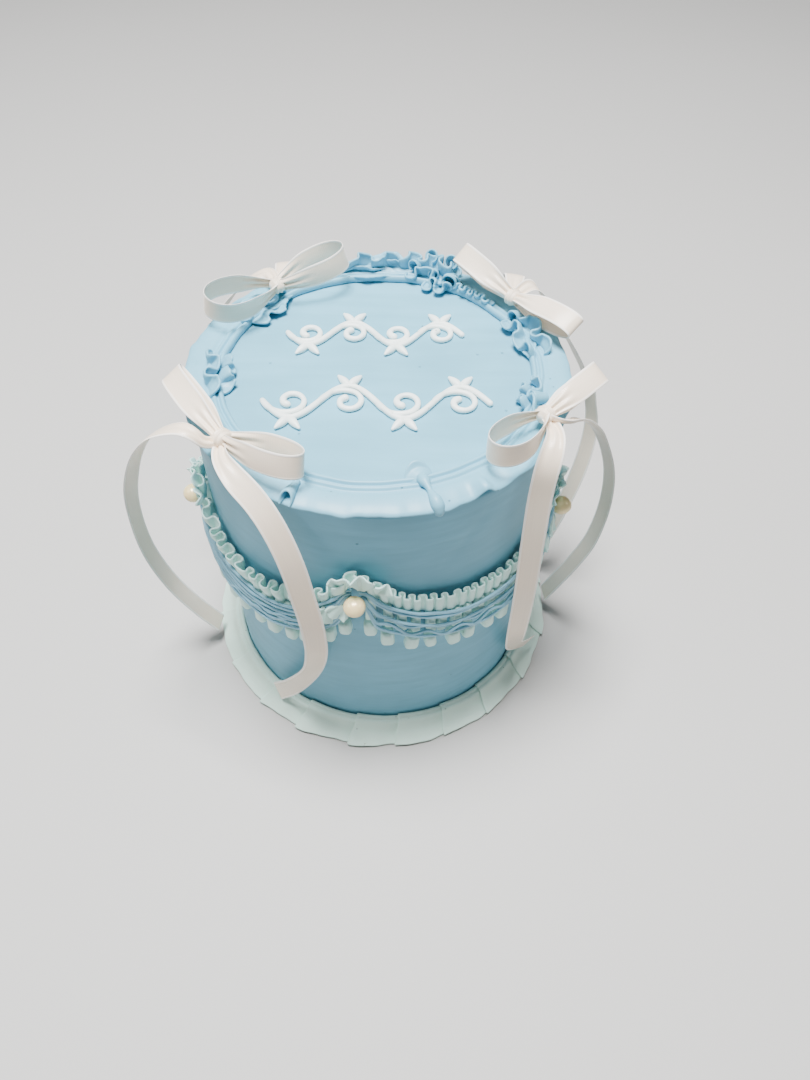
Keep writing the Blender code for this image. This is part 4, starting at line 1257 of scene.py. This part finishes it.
class LAYERCAKE_OT_iced_cake(bpy.types.Operator):
    """Make the smooth iced cake."""

    bl_idname = "layer_cake.iced_cake"
    bl_label = "Iced Cake"

    def execute(self, context):
        settings = context.scene.layer_cake
        make_iced_cake(settings, smooth_buttercream(settings.icing.coat))
        return {"FINISHED"}


class LAYERCAKE_OT_rim_border(bpy.types.Operator):
    """Make the piped border on the rim."""

    bl_idname = "layer_cake.rim_border"
    bl_label = "Rim Border"

    def execute(self, context):
        icing = piped_buttercream("piped deep blue buttercream", context.scene.layer_cake.icing.border)
        for make in (make_rim_band, make_rim_ruffles, make_rim_rolls, make_rim_drip):
            make(icing)
        return {"FINISHED"}


class LAYERCAKE_OT_foot_border(bpy.types.Operator):
    """Make the pleated border round the foot."""

    bl_idname = "layer_cake.foot_border"
    bl_label = "Foot Border"

    def execute(self, context):
        colour = context.scene.layer_cake.icing.skirt
        make_foot_border(piped_buttercream("piped mint buttercream", colour, 0.45))
        return {"FINISHED"}


class LAYERCAKE_OT_garland(bpy.types.Operator):
    """Make the garland: ruffles, draped threads, drops and sugar pearls."""

    bl_idname = "layer_cake.garland"
    bl_label = "Garland"

    def execute(self, context):
        settings = context.scene.layer_cake
        petals = piped_buttercream("piped pale mint buttercream", settings.icing.petals, 0.4)
        threads = piped_buttercream("piped blue buttercream threads", settings.icing.strings)
        sugar = sugar_pearl(settings.garland.pearl_colour)
        for seed, swag in enumerate(SWAGS):
            make_swag_ruffle(settings, swag, seed, petals)
            make_swag_strings(settings, swag, seed, threads)
            make_swag_drops(settings, swag, seed, petals)
        for name, spot in PEARLS.items():
            make_pearl(settings, name, spot, sugar)
        return {"FINISHED"}


class LAYERCAKE_OT_vine(bpy.types.Operator):
    """Make the piped vine on the top."""

    bl_idname = "layer_cake.vine"
    bl_label = "Piped Vine"

    def execute(self, context):
        settings = context.scene.layer_cake
        icing = piped_buttercream("piped white buttercream", settings.icing.vine, 0.35)
        for name, row in SCROLL_ROWS.items():
            make_vine(name, row, icing)
        return {"FINISHED"}


STEPS = (
    LAYERCAKE_OT_stage, LAYERCAKE_OT_ribbon_tails, LAYERCAKE_OT_bows, LAYERCAKE_OT_iced_cake,
    LAYERCAKE_OT_rim_border, LAYERCAKE_OT_foot_border, LAYERCAKE_OT_garland, LAYERCAKE_OT_vine,
)


class LAYERCAKE_PT_panel(bpy.types.Panel):
    """The cake's settings and the buttons that build it."""

    bl_label = "Layer Cake"
    bl_idname = "LAYERCAKE_PT_panel"
    bl_space_type = "VIEW_3D"
    bl_region_type = "UI"
    bl_category = "Layer Cake"

    def draw(self, context):
        settings = context.scene.layer_cake
        for heading in ("icing", "cake", "garland", "ribbon", "stage"):
            box = self.layout.box()
            box.label(text=heading.capitalize())
            group = getattr(settings, heading)
            for name in group.__annotations__:
                box.prop(group, name)
        for step in STEPS:
            self.layout.operator(step.bl_idname)


CLASSES = (
    IcingSettings, CakeSettings, GarlandSettings, RibbonSettings, StageSettings, LayerCakeSettings,
    *STEPS, LAYERCAKE_PT_panel,
)


def register():
    for cls in CLASSES:
        bpy.utils.register_class(cls)
    bpy.types.Scene.layer_cake = PointerProperty(type=LayerCakeSettings)


def unregister():
    del bpy.types.Scene.layer_cake
    for cls in reversed(CLASSES):
        bpy.utils.unregister_class(cls)


def main():
    register()
    bpy.ops.layer_cake.stage()
    bpy.ops.layer_cake.ribbon_tails()
    bpy.ops.layer_cake.bows()
    bpy.ops.layer_cake.iced_cake()
    bpy.ops.layer_cake.rim_border()
    bpy.ops.layer_cake.foot_border()
    bpy.ops.layer_cake.garland()
    bpy.ops.layer_cake.vine()


if __name__ == "__main__":
    main()
